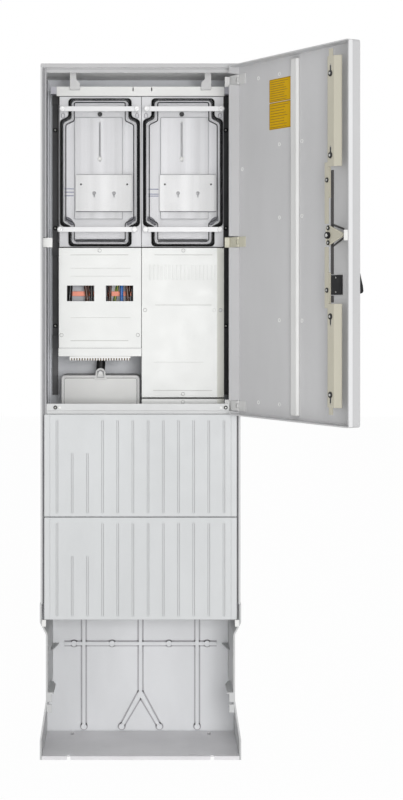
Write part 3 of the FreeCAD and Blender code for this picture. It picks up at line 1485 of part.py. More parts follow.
for row, z in enumerate(bar_levels):
    busbars.append(block(f"busbar{row}", (left_centre - mm.busbar_half, left_centre + mm.busbar_half),
                         (depth(mm.busbar_depth), depth(mm.busbar_depth + mm.busbar_thickness)),
                         (z - bar_half, z + bar_half)))
for side, word in ((-1, "left"), (1, "right")):
    x = left_centre + side * (mm.busbar_half - mm.holder_width)
    post = block(word + "_holder_post", (x - mm.holder_width / 2, x + mm.holder_width / 2),
                 (depth(mm.busbar_depth - mm.holder_reach), depth(bus_rear - mm.bus_plate - mm.seat_gap)),
                 (bar_levels[0] - mm.busbar_pitch / 2, bar_levels[4] + mm.busbar_pitch / 2))
    slots = [block(f"{word}_holder_slot{row}", (x - mm.holder_width, x + mm.holder_width),
                   (depth(mm.busbar_depth - mm.seat_gap),
                    depth(mm.busbar_depth + mm.busbar_thickness + mm.seat_gap)),
                   (z - bar_half - mm.seat_gap, z + bar_half + mm.seat_gap))
             for row, z in enumerate(bar_levels)]
    holders.append(cut(word + "_holder", post, slots))
keep("busbars", group("busbar_set", busbars))
keep("busbar_holders", group("holder_pair", holders))

# Connection strip and the insulated wires that hang from it, in front of the busbars.
strip_top = fuse_frame_top - mm.frame_wall - mm.seat_gap
keep("connection_strip", block("strip_block", (left_centre - plate_half, left_centre + plate_half),
                               (depth(mm.wire_front - 6), depth(mm.wire_front - 6 + mm.strip_depth)),
                               (mm.strip_bottom, strip_top)))
comb_top = mm.fuse_cover_bottom - mm.fuse_flange_height - mm.seat_gap
wire_bottom = mm.fuse_cover_bottom - mm.fuse_flange_height + 6


def wire(name, top_share, bottom_share, layer):
    """A straight wire from the strip to the comb, placed by shares of the busbars' half length."""
    top_x = round(top_share * mm.busbar_half.value, 1)
    bottom_x = round(bottom_share * mm.busbar_half.value, 1)
    start = FreeCAD.Vector(bottom_x, 0, wire_bottom.value)
    lean = abs(top_x - bottom_x) / math.hypot(top_x - bottom_x, 285)
    wire_top = mm.strip_bottom - mm.seat_gap - mm.wire_radius * lean
    end = FreeCAD.Vector(top_x, 0, wire_top.value)
    run = end - start
    y = depth(mm.wire_front + layer * mm.wire_step)
    bar = doc.addObject("Part::Cylinder", name)
    bind(bar, "Radius", mm.wire_radius)
    height = wire_top - wire_bottom
    bar.setExpression("Height", f"sqrt({height.text} ^ 2 + {repr(float(top_x - bottom_x))} ^ 2)")
    bar.Placement = FreeCAD.Placement(FreeCAD.Vector(), FreeCAD.Rotation(ALONG_Z, run))
    place(bar, (left_centre + bottom_x, y, wire_bottom))
    return bar


keep("insulated_wires", group("wire_set", [
    wire("black_wire_a", -0.84, -0.866, 0),
    wire("black_wire_b", -0.643, -0.536, 1),
    wire("black_wire_c", 0.179, 0.161, 0),
    wire("brown_wire_a", -0.554, -0.268, 0),
    wire("brown_wire_b", 0.821, 0.75, 0),
    wire("earth_wire", 0.661, 0.089, 1),
    wire("neutral_wire", 0.563, 0.563, 0),
]))

# Cable comb under the fuse cover: a strip with a row of pointed teeth.
comb = new_body("cable_comb")
comb_span = (depth(flange_front + 3), depth(flange_front + 3 + mm.comb_thickness))
pad(comb, "comb_strip", "XZ",
    rectangle(left_centre - mm.comb_half, left_centre + mm.comb_half, comb_top - mm.comb_height, comb_top),
    *comb_span)
tooth_left = left_centre - mm.comb_half
tooth_tip = comb_top - mm.comb_height - mm.tooth_height
tooth = pad(comb, "tooth", "XZ", [
    (tooth_left, comb_top - mm.comb_height + 1), (tooth_left, tooth_tip + 3),
    (tooth_left + mm.tooth_width / 2, tooth_tip), (tooth_left + mm.tooth_width, tooth_tip + 3),
    (tooth_left + mm.tooth_width, comb_top - mm.comb_height + 1)], *comb_span)
teeth = comb.newObject("PartDesign::LinearPattern", "teeth")
teeth.Originals = [tooth]
teeth.Direction = (tooth.Profile[0], ["H_Axis"])
bind(teeth, "Length", mm.tooth_pitch * 22)
teeth.Occurrences = 23
comb.Tip = teeth
keep("cable_comb", comb)

# Service box: a base on the back wall, a lid with a raised rim and a screwed lug on top.
service_half = mm.service_width / 2
service_left, service_right = left_centre - service_half, left_centre + service_half


def service_shell(label, low, high):
    body = new_body(label)
    pad(body, label + "_block", "XZ",
        rectangle(service_left, service_right, mm.service_bottom, mm.service_top),
        depth(low), depth(high))
    round_edges(body, mm.service_corner, ALONG_Y, lambda p: True, label + "_rounding")
    return body


def service_hollow(body, name, low, high):
    """The inside of the box, with the same wall all round."""
    side = mm.service_wall
    pocket(body, name, "XZ",
           rectangle(service_left + side, service_right - side,
                     mm.service_bottom + side, mm.service_top - side), depth(low), depth(high))


service_base = service_shell("service_box_base", mm.service_split, back_face - mm.seat_gap)
service_hollow(service_base, "base_inside", mm.service_split - 1, back_face - mm.seat_gap - mm.service_wall)
keep("service_box_base", service_base)
service_lid = service_shell("service_box_lid", mm.service_front, mm.service_split - mm.seat_gap)
rim = mm.service_rim
pocket(service_lid, "lid_recess", "XZ",
       rectangle(service_left + rim, service_right - rim, mm.service_bottom + rim, mm.service_top - rim),
       depth(mm.service_front - 1), depth(mm.service_front + mm.service_recess))
service_hollow(service_lid, "lid_inside", mm.service_front + mm.service_recess + mm.service_wall,
               mm.service_split + 1)
lug_top = mm.service_top + mm.lug_rise
lug_span = (depth(mm.service_front), depth(mm.service_front + mm.lug_plate))
pad(service_lid, "lid_lug", "XZ", [
    (left_centre - mm.lug_base_half, mm.service_top - mm.service_corner),
    (left_centre + mm.lug_base_half, mm.service_top - mm.service_corner),
    (left_centre + mm.lug_base_half * 0.7, mm.service_top),
    (left_centre + mm.lug_tip_radius / 2, lug_top),
    (left_centre - mm.lug_tip_radius / 2, lug_top),
    (left_centre - mm.lug_base_half * 0.7, mm.service_top),
], *lug_span)
keep("service_box_lid", service_lid)
lug_screw_z = mm.service_top + mm.lug_rise / 3
keep("service_box_screw", round_bar("lug_screw", mm.lug_screw_radius,
                                    (left_centre, depth(mm.service_front - 3), lug_screw_z),
                                    sized(3), "y"))

# Service cable: two straight runs joined by one wide arc, from the service box to its clamp.
cable_y = depth(mm.cable_depth).value
cable_points = [
    FreeCAD.Vector(-mm.cable_bottom_x.value, cable_y, mm.service_top.value + 1 + mm.seat_gap.value),
    FreeCAD.Vector(-mm.cable_bend_x.value, cable_y, mm.cable_bend_z.value),
    FreeCAD.Vector(-mm.cable_top_x.value, cable_y, mm.cable_top_z.value),
]


def rounded_route(points):
    """Straight runs joined by arcs that are as large as the shorter run beside each bend allows."""
    edges, start = [], points[0]
    for before, corner, after in zip(points, points[1:], points[2:]):
        into, out = (corner - before), (after - corner)
        turn = into.getAngle(out)
        reach = 0.45 * min(into.Length, out.Length)
        radius = reach / math.tan(turn / 2)
        print(f"cable bend radius {radius:.0f} mm")
        first = corner - into.normalize() * reach
        last = corner + out.normalize() * reach
        inward = (last - corner) + (first - corner)
        middle = corner + inward.normalize() * (radius / math.cos(turn / 2) - radius)
        edges += [Part.LineSegment(start, first).toShape(), Part.Arc(first, middle, last).toShape()]
        start = last
    edges.append(Part.LineSegment(start, points[-1]).toShape())
    return Part.Wire(edges)


route = rounded_route(cable_points)
cable_start = cable_points[1] - cable_points[0]
circle = Part.Wire(Part.makeCircle(mm.cable_radius.value, cable_points[0], cable_start))
cable = doc.addObject("Part::Feature", "service_cable")
cable.Shape = route.makePipeShell([circle], True, False)
cable_section = math.pi * mm.cable_radius.value ** 2
print(f"cable volume ratio {cable.Shape.Volume / (cable_section * route.Length):.4f}")
keep("service_cable", cable)

# Keeper for the tongue of the lock, on the left side wall.
keeper_left = -half_width + mm.shell_wall + mm.seat_gap
keeper_low = mm.hinge_middle_z - mm.keeper_height / 2
keep("side_keeper", block("keeper_block", (keeper_left, keeper_left + mm.keeper_width),
                          (depth(mm.keeper_front), depth(mm.keeper_front + mm.keeper_depth)),
                          (keeper_low, keeper_low + mm.keeper_height)))


# Hinges: a cranked bracket on the side wall reaches round the lip to a knuckle at the door's corner.
def knuckle(name, z, height, radius):
    return round_bar(name, radius, (mm.hinge_x, hinge_y, z - height / 2), height)


def hinge_bracket(word, z):
    low, high = z - mm.hinge_height / 2, z + mm.hinge_height / 2
    web = lip_back + 2
    plate = mm.hinge_plate
    wall_face = half_width - mm.shell_wall - mm.seat_gap
    body = new_body(word + "_bracket_bend")
    pad(body, word + "_bend_section", "XY", [
        (wall_face, depth(web)),
        (wall_face, depth(web + mm.bracket_foot_length)),
        (wall_face - plate, depth(web + mm.bracket_foot_length)),
        (wall_face - plate, depth(web + plate)),
        (mm.neck_inner_x - mm.leaf_visible, depth(web + plate)),
        (mm.neck_inner_x - mm.leaf_visible, depth(web)),
        (mm.neck_inner_x, depth(web)),
        (mm.neck_turn_x - plate / 2, depth(mm.neck_turn_depth)),
        (mm.hinge_x - mm.knuckle_radius, hinge_y - plate / 2),
        (mm.hinge_x, hinge_y),
        (mm.hinge_x - mm.knuckle_radius / 2, hinge_y + plate),
        (mm.neck_turn_x + plate / 2, depth(mm.neck_turn_depth + 1)),
        (mm.neck_inner_x + plate, depth(web)),
    ], low, high)
    barrel = knuckle(word + "_outer_knuckle", z, mm.hinge_height, mm.knuckle_radius)
    whole = join(word + "_bracket_whole", [body, barrel])
    room_height = mm.knuckle_height + 2 * mm.knuckle_gap
    room = knuckle(word + "_knuckle_room", z, room_height, mm.knuckle_radius + 4)
    bore_radius = mm.hinge_pin_radius + mm.pin_clearance
    bore = knuckle(word + "_bracket_bore", z, mm.hinge_height + 2, bore_radius)
    return cut(word + "_hinge_bracket", whole, [room, bore])


def hinge_leaf(word, z, height):
    """The door's knuckle and the plate that is screwed to the inner face of the door."""
    near = mm.door_half - mm.hinge_notch
    inner_face = hinge_y + (mm.hinge_proud + mm.door_skin - mm.door_proud)
    span = (inner_face, inner_face + mm.leaf_thickness)
    plate = block(word + "_leaf_plate", (near - mm.leaf_length, near), span,
                  (z - height / 2, z + height / 2))
    strap = block(word + "_leaf_strap", (near - 1, mm.hinge_x), span,
                  (z - mm.knuckle_height / 2, z + mm.knuckle_height / 2))
    barrel = knuckle(word + "_leaf_barrel", z, mm.knuckle_height, mm.knuckle_radius)
    whole = join(word + "_leaf_whole", [plate, strap, barrel])
    bore_radius = mm.hinge_pin_radius + mm.pin_clearance
    bore = knuckle(word + "_leaf_bore", z, mm.knuckle_height + 2, bore_radius)
    return cut(word + "_hinge_leaf", whole, [bore])


hinge_levels = {"top": mm.hinge_top_z, "middle": mm.hinge_middle_z, "bottom": mm.hinge_bottom_z}
keep("hinge_brackets", group("hinge_bracket_set", [
    hinge_bracket(word, z) for word, z in hinge_levels.items()]))
keep("hinge_pins", group("hinge_pin_set", [
    knuckle(word + "_pin", z, mm.hinge_height + 1, mm.hinge_pin_radius)
    for word, z in hinge_levels.items()]))
keep_on_door("hinge_leaves", group("hinge_leaf_set", [
    hinge_leaf(word, z, mm.hinge_height) for word, z in hinge_levels.items()]))

# Door: a moulded tray with fluted outer face, notched at the hinges.
door_top = mm.roof_underside - mm.door_top_gap
outer_face = depth(-mm.door_proud)
inner_face = depth(mm.door_skin - mm.door_proud)
flange_tip = depth(mm.door_flange_tip)
door = new_body("door_panel")
pad(door, "door_block", "XZ", rectangle(-mm.door_half, mm.door_half, door_bottom, door_top),
    outer_face, flange_tip)
round_edges(door, mm.door_corner, ALONG_Y, lambda p: True, "door_rounding")
edge = mm.door_edge
pocket(door, "door_hollow", "XZ",
       rectangle(-mm.door_half + edge, mm.door_half - edge, door_bottom + edge, door_top - edge),
       inner_face, flange_tip + 1)
for word, z in hinge_levels.items():
    low, high = z - hinge_room, z + hinge_room
    pocket(door, word + "_door_notch", "XZ",
           rectangle(mm.door_half - mm.hinge_notch, mm.door_half + 1, low, high),
           outer_face - 1, flange_tip + 1)
door_flute = flute(door, "door_flute", -5.5 * mm.flute_pitch, door_bottom + mm.flute_top_margin,
                   door_top - mm.flute_top_margin, -mm.door_proud)
repeat_flute(door, door_flute, "door_flutes", 12)
pivot_x = mm.door_half - mm.pivot_reach
boss_top = inner_face + mm.cam_standoff - mm.guide_clearance
shaft_boss = disc_outline(door, "door_shaft_boss", "XZ", [(pivot_x, mm.pivot_z)],
                          mm.bushing_radius, boss_top)
raise_from(door, shaft_boss, inner_face - 1, boss_top)
shaft_hole = disc_outline(door, "door_shaft_hole", "XZ", [(pivot_x, mm.pivot_z)],
                          mm.shaft_radius + mm.shaft_clearance, boss_top + 1)
sink_from(door, shaft_hole, outer_face - 1, boss_top + 1)
keep_on_door("door_panel", door)

# Stiffener: a hat section bonded up the middle of the door.
stiff_right = mm.door_half - mm.stiffener_near
stiff_left = stiff_right - mm.stiffener_width
slant, wall = mm.stiffener_slant, mm.stiffener_wall
stiffener = new_body("door_stiffener")
pad(stiffener, "stiffener_section", "XY", [
    (stiff_left, inner_face),
    (stiff_left + slant, inner_face + mm.stiffener_height),
    (stiff_right - slant, inner_face + mm.stiffener_height),
    (stiff_right, inner_face),
    (stiff_right - wall, inner_face),
    (stiff_right - slant - wall, inner_face + mm.stiffener_height - wall),
    (stiff_left + slant + wall, inner_face + mm.stiffener_height - wall),
    (stiff_left + wall, inner_face),
], door_bottom + mm.stiffener_margin, door_top - mm.stiffener_margin)
keep_on_door("door_stiffener", stiffener)

# Guide tab on the free edge, which enters the notch in the left side wall.
tab_right = -mm.door_half + edge + mm.tab_thickness
tab_low = mm.hinge_middle_z - mm.tab_height / 2
keep_on_door("guide_tab", block("tab_block", (tab_right - mm.tab_thickness, tab_right),
                                (flange_tip - 12, flange_tip + mm.tab_reach),
                                (tab_low, tab_low + mm.tab_height)))

# Lock: hub with its shaft, cam with a tongue, nut, and two sliding rods on guide screws.
cam_back_y = inner_face + mm.cam_standoff
cam_front_y = cam_back_y + mm.cam_thickness
cam = new_body("cam_plate")
tip = pivot_x - mm.tongue_reach
pad(cam, "cam_outline", "XZ", [
    (pivot_x + mm.cam_back, mm.pivot_z - mm.cam_half * 0.7),
    (pivot_x + mm.cam_back, mm.pivot_z + mm.cam_half * 0.7),
    (pivot_x, mm.pivot_z + mm.cam_half),
    (tip + mm.tongue_half, mm.pivot_z + mm.tongue_half),
    (tip, mm.pivot_z),
    (tip + mm.tongue_half, mm.pivot_z - mm.tongue_half),
    (pivot_x, mm.pivot_z - mm.cam_half),
], cam_back_y, cam_front_y)
pin_places = [(pivot_x, mm.pivot_z + turn * mm.cam_pin_offset) for turn in (-1, 1)]
pin_sketch = disc_outline(cam, "cam_pins", "XZ", pin_places, mm.cam_pin_radius,
                          cam_front_y + mm.cam_pin_height)
raise_from(cam, pin_sketch, cam_front_y - 1, cam_front_y + mm.cam_pin_height)
shaft_seat = disc_outline(cam, "cam_bore", "XZ", [(pivot_x, mm.pivot_z)],
                          mm.shaft_radius + mm.pin_clearance, cam_front_y + 1)
sink_from(cam, shaft_seat, cam_back_y - 1, cam_front_y + 1)
keep_on_door("lock_cam", cam)

escutcheon_back = outer_face
escutcheon_front = outer_face - mm.escutcheon_thickness
hub_back = escutcheon_front - mm.seat_gap
hub_front = hub_back - mm.hub_disc
hub_disc = round_bar("hub_disc", mm.hub_radius, (pivot_x, hub_front, mm.pivot_z), mm.hub_disc, "y")
hub_shaft = round_bar("hub_shaft", mm.shaft_radius, (pivot_x, hub_front + 1, mm.pivot_z),
                      cam_front_y - hub_front - 1, "y")
hub_lug = block("hub_lug", (pivot_x - mm.hub_lug_width / 2, pivot_x + mm.hub_lug_width / 2),
                (hub_front - mm.hub_lug_reach, hub_front + 1),
                (mm.pivot_z - mm.hub_lug_half, mm.pivot_z + mm.hub_lug_half))
lever_axis_y = hub_front - mm.hub_lug_reach + mm.hub_lug_half
lug_bore = round_bar("hub_lug_bore", mm.lever_pin_radius + mm.pin_clearance,
                     (pivot_x - mm.hub_lug_width, lever_axis_y, mm.pivot_z), 2 * mm.hub_lug_width, "x")
keep_on_door("handle_hub", cut("hub", join("hub_whole", [hub_disc, hub_shaft, hub_lug]), [lug_bore]))
keep_on_door("shaft_nut", round_bar("nut_blank", mm.nut_radius, (pivot_x, cam_front_y, mm.pivot_z),
                                    mm.nut_height, "y"))

escutcheon = new_body("escutcheon_plate")
pad(escutcheon, "escutcheon_block", "XZ",
    rectangle(pivot_x - mm.escutcheon_width / 2, pivot_x + mm.escutcheon_width / 2,
              mm.escutcheon_bottom, mm.escutcheon_top), escutcheon_front, escutcheon_back)
round_edges(escutcheon, mm.escutcheon_corner, ALONG_Y, lambda p: True, "escutcheon_rounding")
escutcheon_hole = disc_outline(escutcheon, "escutcheon_hole", "XZ", [(pivot_x, mm.pivot_z)],
                               mm.shaft_radius + mm.shaft_clearance, escutcheon_back + 1)
sink_from(escutcheon, escutcheon_hole, escutcheon_front - 1, escutcheon_back + 1)
keep_on_door("escutcheon", escutcheon)

# Lever: a tapered swing handle, lifted a little off the plate, forked round the hub's lug.
lever = new_body("lever_blank")
lever_low = mm.lever_bottom
grip_face = outer_face - mm.lever_proud
pad(lever, "lever_side_view", "YZ", [
    (lever_axis_y + 8, mm.pivot_z + 9),
    (lever_axis_y - 8, mm.pivot_z + 9),
    (lever_axis_y - 12, mm.pivot_z - 30),
    (grip_face + 13, lever_low + 64),
    (grip_face + 2, lever_low + 24),
    (grip_face, lever_low + 9),
    (grip_face + 3, lever_low + 4),
    (grip_face + 18, lever_low),
    (grip_face + mm.lever_grip + 6, lever_low + 3),
    (grip_face + mm.lever_grip + 8, lever_low + 36),
    (lever_axis_y + 3, mm.pivot_z - 30),
    (lever_axis_y + 8, mm.pivot_z - 12),
], pivot_x - mm.lever_width / 2, pivot_x + mm.lever_width / 2)
fork_half = mm.hub_lug_width / 2 + mm.lever_cheek_gap
pocket(lever, "lever_fork", "XZ",
       rectangle(pivot_x - fork_half, pivot_x + fork_half, mm.pivot_z - 26, mm.pivot_z + 12),
       lever_axis_y - 30, lever_axis_y + 12)
bore = outline(lever, "lever_bore", "YZ", [], pivot_x - mm.lever_width / 2 - 1)
bore.addGeometry(Part.Circle(FreeCAD.Vector(lever_axis_y.value, mm.pivot_z.value, 0), ALONG_Z,
                             mm.lever_pin_radius.value), False)
for kind, size in (("DistanceX", lever_axis_y), ("DistanceY", mm.pivot_z)):
    number = bore.addConstraint(Sketcher.Constraint(kind, -1, 1, 0, 3, size.value))
    bind(bore, f"Constraints[{number}]", size)
number = bore.addConstraint(Sketcher.Constraint("Radius", 0, mm.lever_pin_radius.value))
bind(bore, f"Constraints[{number}]", mm.lever_pin_radius + mm.pin_clearance)
sink_from(lever, bore, sized(0), mm.lever_width + 2)
keep_on_door("handle_lever", lever)
lever_pin_start = (pivot_x - mm.lever_width / 2, lever_axis_y, mm.pivot_z)
keep_on_door("lever_pin", round_bar("lever_pin_bar", mm.lever_pin_radius, lever_pin_start,
                                    mm.lever_width, "x"))

lock_right = mm.door_half - mm.lock_plate_near
keep_on_door("lock_plate", block("lock_plate_block", (lock_right - mm.lock_plate_size, lock_right),
                                 (inner_face, inner_face + mm.lock_plate_thickness),
                                 (mm.lock_plate_bottom, mm.lock_plate_bottom + mm.lock_plate_size)))

# Rods: a narrow strip from the cam and a wide cranked plate, slotted for the guide screws.
rod_back_y = inner_face + mm.rod_standoff
rod_front_y = rod_back_y + mm.rod_thickness
strip_right = mm.door_half - mm.strip_near
strip_left = strip_right - mm.strip_width
plate_right = mm.door_half - mm.plate_near
plate_left = plate_right - mm.plate_width
guide_x = mm.door_half - mm.guide_reach


def lock_rod(word, way, plate_end, rod_end, guides):
    """One rod, with way +1 for the rod above the cam and -1 for the one below."""
    def span(first, second):
        return (first, second) if way > 0 else (second, first)

    start = mm.pivot_z + way * mm.rod_start
    strip_end = mm.pivot_z + way * mm.strip_end
    strip = block(word + "_strip", (strip_left, strip_right), (rod_back_y, rod_front_y),
                  span(start, strip_end + way * 12))
    flange = block(word + "_strip_flange", (strip_left, strip_left + mm.rod_thickness),
                   (rod_back_y - mm.strip_flange, rod_front_y),
                   span(mm.pivot_z + way * mm.strip_flange_start, strip_end))
    plate = new_body(word + "_rod_plate")
    pad(plate, word + "_plate_section", "XY", [
        (plate_right, rod_back_y),
        (plate_right, rod_front_y),
        (plate_left, rod_front_y),
        (plate_left - mm.plate_flange, rod_front_y - mm.plate_drop),
        (plate_left - mm.plate_flange, rod_back_y - mm.plate_drop),
        (plate_left + 1, rod_back_y),
    ], *span(strip_end, plate_end))
    middle = plate_right - mm.plate_width / 2
    end = block(word + "_rod_end", (middle - mm.rod_end_width / 2, middle + mm.rod_end_width / 2),
                (rod_back_y, rod_front_y), span(plate_end - way * 2, rod_end))
    whole = join(word + "_rod_whole", [strip, flange, plate, end])
    slots = []
    for number, (x, z) in enumerate(guides):
        radius = mm.guide_radius + mm.guide_clearance
        low, high = span(z, z + way * mm.rod_travel)
        for level, spot in (("near", low), ("far", high)):
            slots.append(round_bar(f"{word}_slot{number}_{level}", radius, (x, rod_back_y - 1, spot),
                                   mm.rod_thickness + 2, "y"))
        slots.append(block(f"{word}_slot{number}", (x - radius, x + radius),
                           (rod_back_y - 1, rod_front_y + 1), (low, high)))
    return cut(word + "_rod", whole, [join(word + "_slots", slots)])


keep_on_door("upper_rod", lock_rod("upper", 1, mm.upper_plate_end, mm.upper_rod_end,
                                   [(guide_x, mm.guide_top_z), (guide_x, mm.guide_upper_z)]))
keep_on_door("lower_rod", lock_rod("lower", -1, mm.lower_plate_end, mm.lower_rod_end,
                                   [(guide_x, mm.guide_lower_z), (guide_x, mm.guide_bottom_z)]))

guide_screws = []
for number, z in enumerate((mm.guide_top_z, mm.guide_upper_z, mm.guide_lower_z, mm.guide_bottom_z)):
    collar = round_bar(f"guide_collar{number}", mm.guide_collar, (guide_x, inner_face, z),
                       mm.rod_standoff - mm.guide_clearance, "y")
    shank = round_bar(f"guide_shank{number}", mm.guide_radius, (guide_x, inner_face + 1, z),
                      mm.rod_standoff + mm.rod_thickness + mm.guide_clearance, "y")
    head = round_bar(f"guide_head{number}", mm.guide_head_radius,
                     (guide_x, rod_front_y + mm.guide_clearance, z), mm.guide_head, "y")
    guide_screws.append(join(f"guide_screw{number}", [collar, shank, head]))
keep_on_door("guide_screws", group("guide_screw_set", guide_screws))

doc.recompute()
for item in doc.Objects:
    if "Invalid" in item.State or "Error" in item.State:
        raise RuntimeError(f"{item.Name} failed: {item.State}")
for node in nodes:
    if node.Shape.isNull() or not node.Shape.isValid():
        raise RuntimeError(f"{node.Label} has no valid shape")
for node in nodes:
    node.Shape.exportStep(f"parts/{node.Label}.step")
    print(f"{node.Label}: {len(node.Shape.Solids)} solids, {node.Shape.Volume / 1000:.1f} cm3")
print(len(nodes), "nodes")
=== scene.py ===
"""Finish of an outdoor meter column: a moulded housing with an open door, two meter fields, covers
over the terminals, and an open-fronted ground base."""
import json
import math
import bmesh
import bpy
import numpy as np
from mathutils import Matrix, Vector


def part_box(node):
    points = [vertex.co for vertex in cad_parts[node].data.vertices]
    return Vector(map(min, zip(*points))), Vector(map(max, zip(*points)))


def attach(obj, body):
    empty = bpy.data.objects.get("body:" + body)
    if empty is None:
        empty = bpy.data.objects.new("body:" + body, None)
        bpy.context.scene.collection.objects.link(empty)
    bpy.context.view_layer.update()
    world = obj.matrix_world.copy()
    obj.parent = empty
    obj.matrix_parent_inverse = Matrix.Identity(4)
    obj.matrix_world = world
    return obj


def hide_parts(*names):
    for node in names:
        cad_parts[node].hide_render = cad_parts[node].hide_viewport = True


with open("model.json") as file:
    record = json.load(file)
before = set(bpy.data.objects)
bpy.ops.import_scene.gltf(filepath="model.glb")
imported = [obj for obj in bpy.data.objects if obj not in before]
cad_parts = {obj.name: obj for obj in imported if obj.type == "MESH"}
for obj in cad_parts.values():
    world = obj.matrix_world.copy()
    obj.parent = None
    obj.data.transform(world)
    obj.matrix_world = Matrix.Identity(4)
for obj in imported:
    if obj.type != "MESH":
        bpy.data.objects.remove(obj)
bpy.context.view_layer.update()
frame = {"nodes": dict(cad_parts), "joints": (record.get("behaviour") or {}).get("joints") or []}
cad = frame["nodes"]

# View and light: a level camera in front of the column at eye height, a plain pale floor, a soft
# lamp close to the line of sight that reaches into the cabinet, and a weak one on the left.
camera = bpy.data.objects.new("view_camera", bpy.data.cameras.new("view_camera"))
bpy.context.scene.collection.objects.link(camera)
camera.location = (0.0, -4.948, 1.357)
camera.rotation_euler = (math.pi / 2, 0.0, 0.0)
camera.data.lens = 73.215
camera.data.sensor_width = 36.0
camera.data.shift_x = 0.07625
camera.data.shift_y = -0.125
camera.data.clip_end = 60.0
bpy.context.scene.camera = camera
bpy.context.scene.view_settings.view_transform = "Standard"


def soft_lamp(name, place, aim, size, power):
    """A square area lamp at a point, turned to face another point."""
    lamp = bpy.data.lights.new(name, "AREA")
    lamp.size = size
    lamp.energy = power
    holder = bpy.data.objects.new(name, lamp)
    holder.location = place
    run = np.array(aim) - np.array(place)
    flat = math.hypot(run[0], run[1])
    holder.rotation_euler = (math.atan2(flat, -run[2]), 0.0, math.atan2(-run[0], run[1]))
    bpy.context.scene.collection.objects.link(holder)


soft_lamp("key_lamp", (0.75, -6.0, 1.35), (0.0, 0.0, 1.15), 1.7, 126.0)
soft_lamp("fill_lamp", (-2.4, -5.4, 1.1), (0.0, 0.0, 1.2), 2.4, 22.0)


def add_node(nodes, kind, **values):
    """A new shader node, whose inputs of these names are set to these values."""
    node = nodes.new("ShaderNode" + kind)
    for name, value in values.items():
        node.inputs[name.replace("_", " ")].default_value = value
    return node


def seen_white(tree, lit_output, share):
    """Camera, glossy and transmission rays see white light for a share of the lit surface."""
    nodes, links = tree.nodes, tree.links
    rays = add_node(nodes, "LightPath")
    first, second, amount = (add_node(nodes, "Math") for _ in range(3))
    white, mix = add_node(nodes, "Emission", Strength=1.0), add_node(nodes, "MixShader")
    first.operation = second.operation = "MAXIMUM"
    amount.operation = "MULTIPLY"
    amount.inputs[1].default_value = share
    links.new(rays.outputs["Is Camera Ray"], first.inputs[0])
    links.new(rays.outputs["Is Glossy Ray"], first.inputs[1])
    links.new(first.outputs[0], second.inputs[0])
    links.new(rays.outputs["Is Transmission Ray"], second.inputs[1])
    links.new(second.outputs[0], amount.inputs[0])
    links.new(amount.outputs[0], mix.inputs["Fac"])
    links.new(lit_output, mix.inputs[1])
    links.new(white.outputs[0], mix.inputs[2])
    return mix.outputs[0]


world = bpy.data.worlds.new("studio")
world.use_nodes = True
bpy.context.scene.world = world
room = world.node_tree.nodes["Background"]
room.inputs["Color"].default_value = (1.0, 1.0, 1.0, 1.0)
room.inputs["Strength"].default_value = 0.56
world.node_tree.links.new(seen_white(world.node_tree, room.outputs[0], 1.0),
                          world.node_tree.nodes["World Output"].inputs["Surface"])

floor_half = 14.0
floor_mesh = bpy.data.meshes.new("studio_floor")
floor_mesh.from_pydata([(-floor_half, -floor_half, 0), (floor_half, -floor_half, 0),
                        (floor_half, floor_half, 0), (-floor_half, floor_half, 0)], [],
                       [(0, 1, 2, 3)])
studio_floor = bpy.data.objects.new("studio_floor", floor_mesh)
bpy.context.scene.collection.objects.link(studio_floor)
pale = bpy.data.materials.new("pale_floor")
pale.use_nodes = True
matt = add_node(pale.node_tree.nodes, "BsdfDiffuse", Color=(0.96, 0.96, 0.96, 1.0))
pale.node_tree.links.new(seen_white(pale.node_tree, matt.outputs[0], 0.97),
                         pale.node_tree.nodes["Material Output"].inputs["Surface"])
floor_mesh.materials.append(pale)

# Housing: side walls, back wall, roof and sill are one family of pressed glass-fibre mouldings in
# pale grey with a fine even grain, bolted together from inside. The side walls' inner faces get a
# darker grey as painted shade, the roof a darker grey as painted shade with a near white underside
# as painted light, and the back wall a near white as painted light.


def tone(red, green, blue):
    """A colour read off a screen, 0 to 255, as the light it stands for."""
    level = np.array([red, green, blue]) / 255
    return tuple(((level + 0.055) / 1.055) ** 2.4) + (1.0,)


def new_finish(name):
    """An empty material with the nodes, the links and the shader of its tree."""
    material = bpy.data.materials.new(name)
    material.use_nodes = True
    tree = material.node_tree
    return material, tree.nodes, tree.links, tree.nodes["Principled BSDF"]


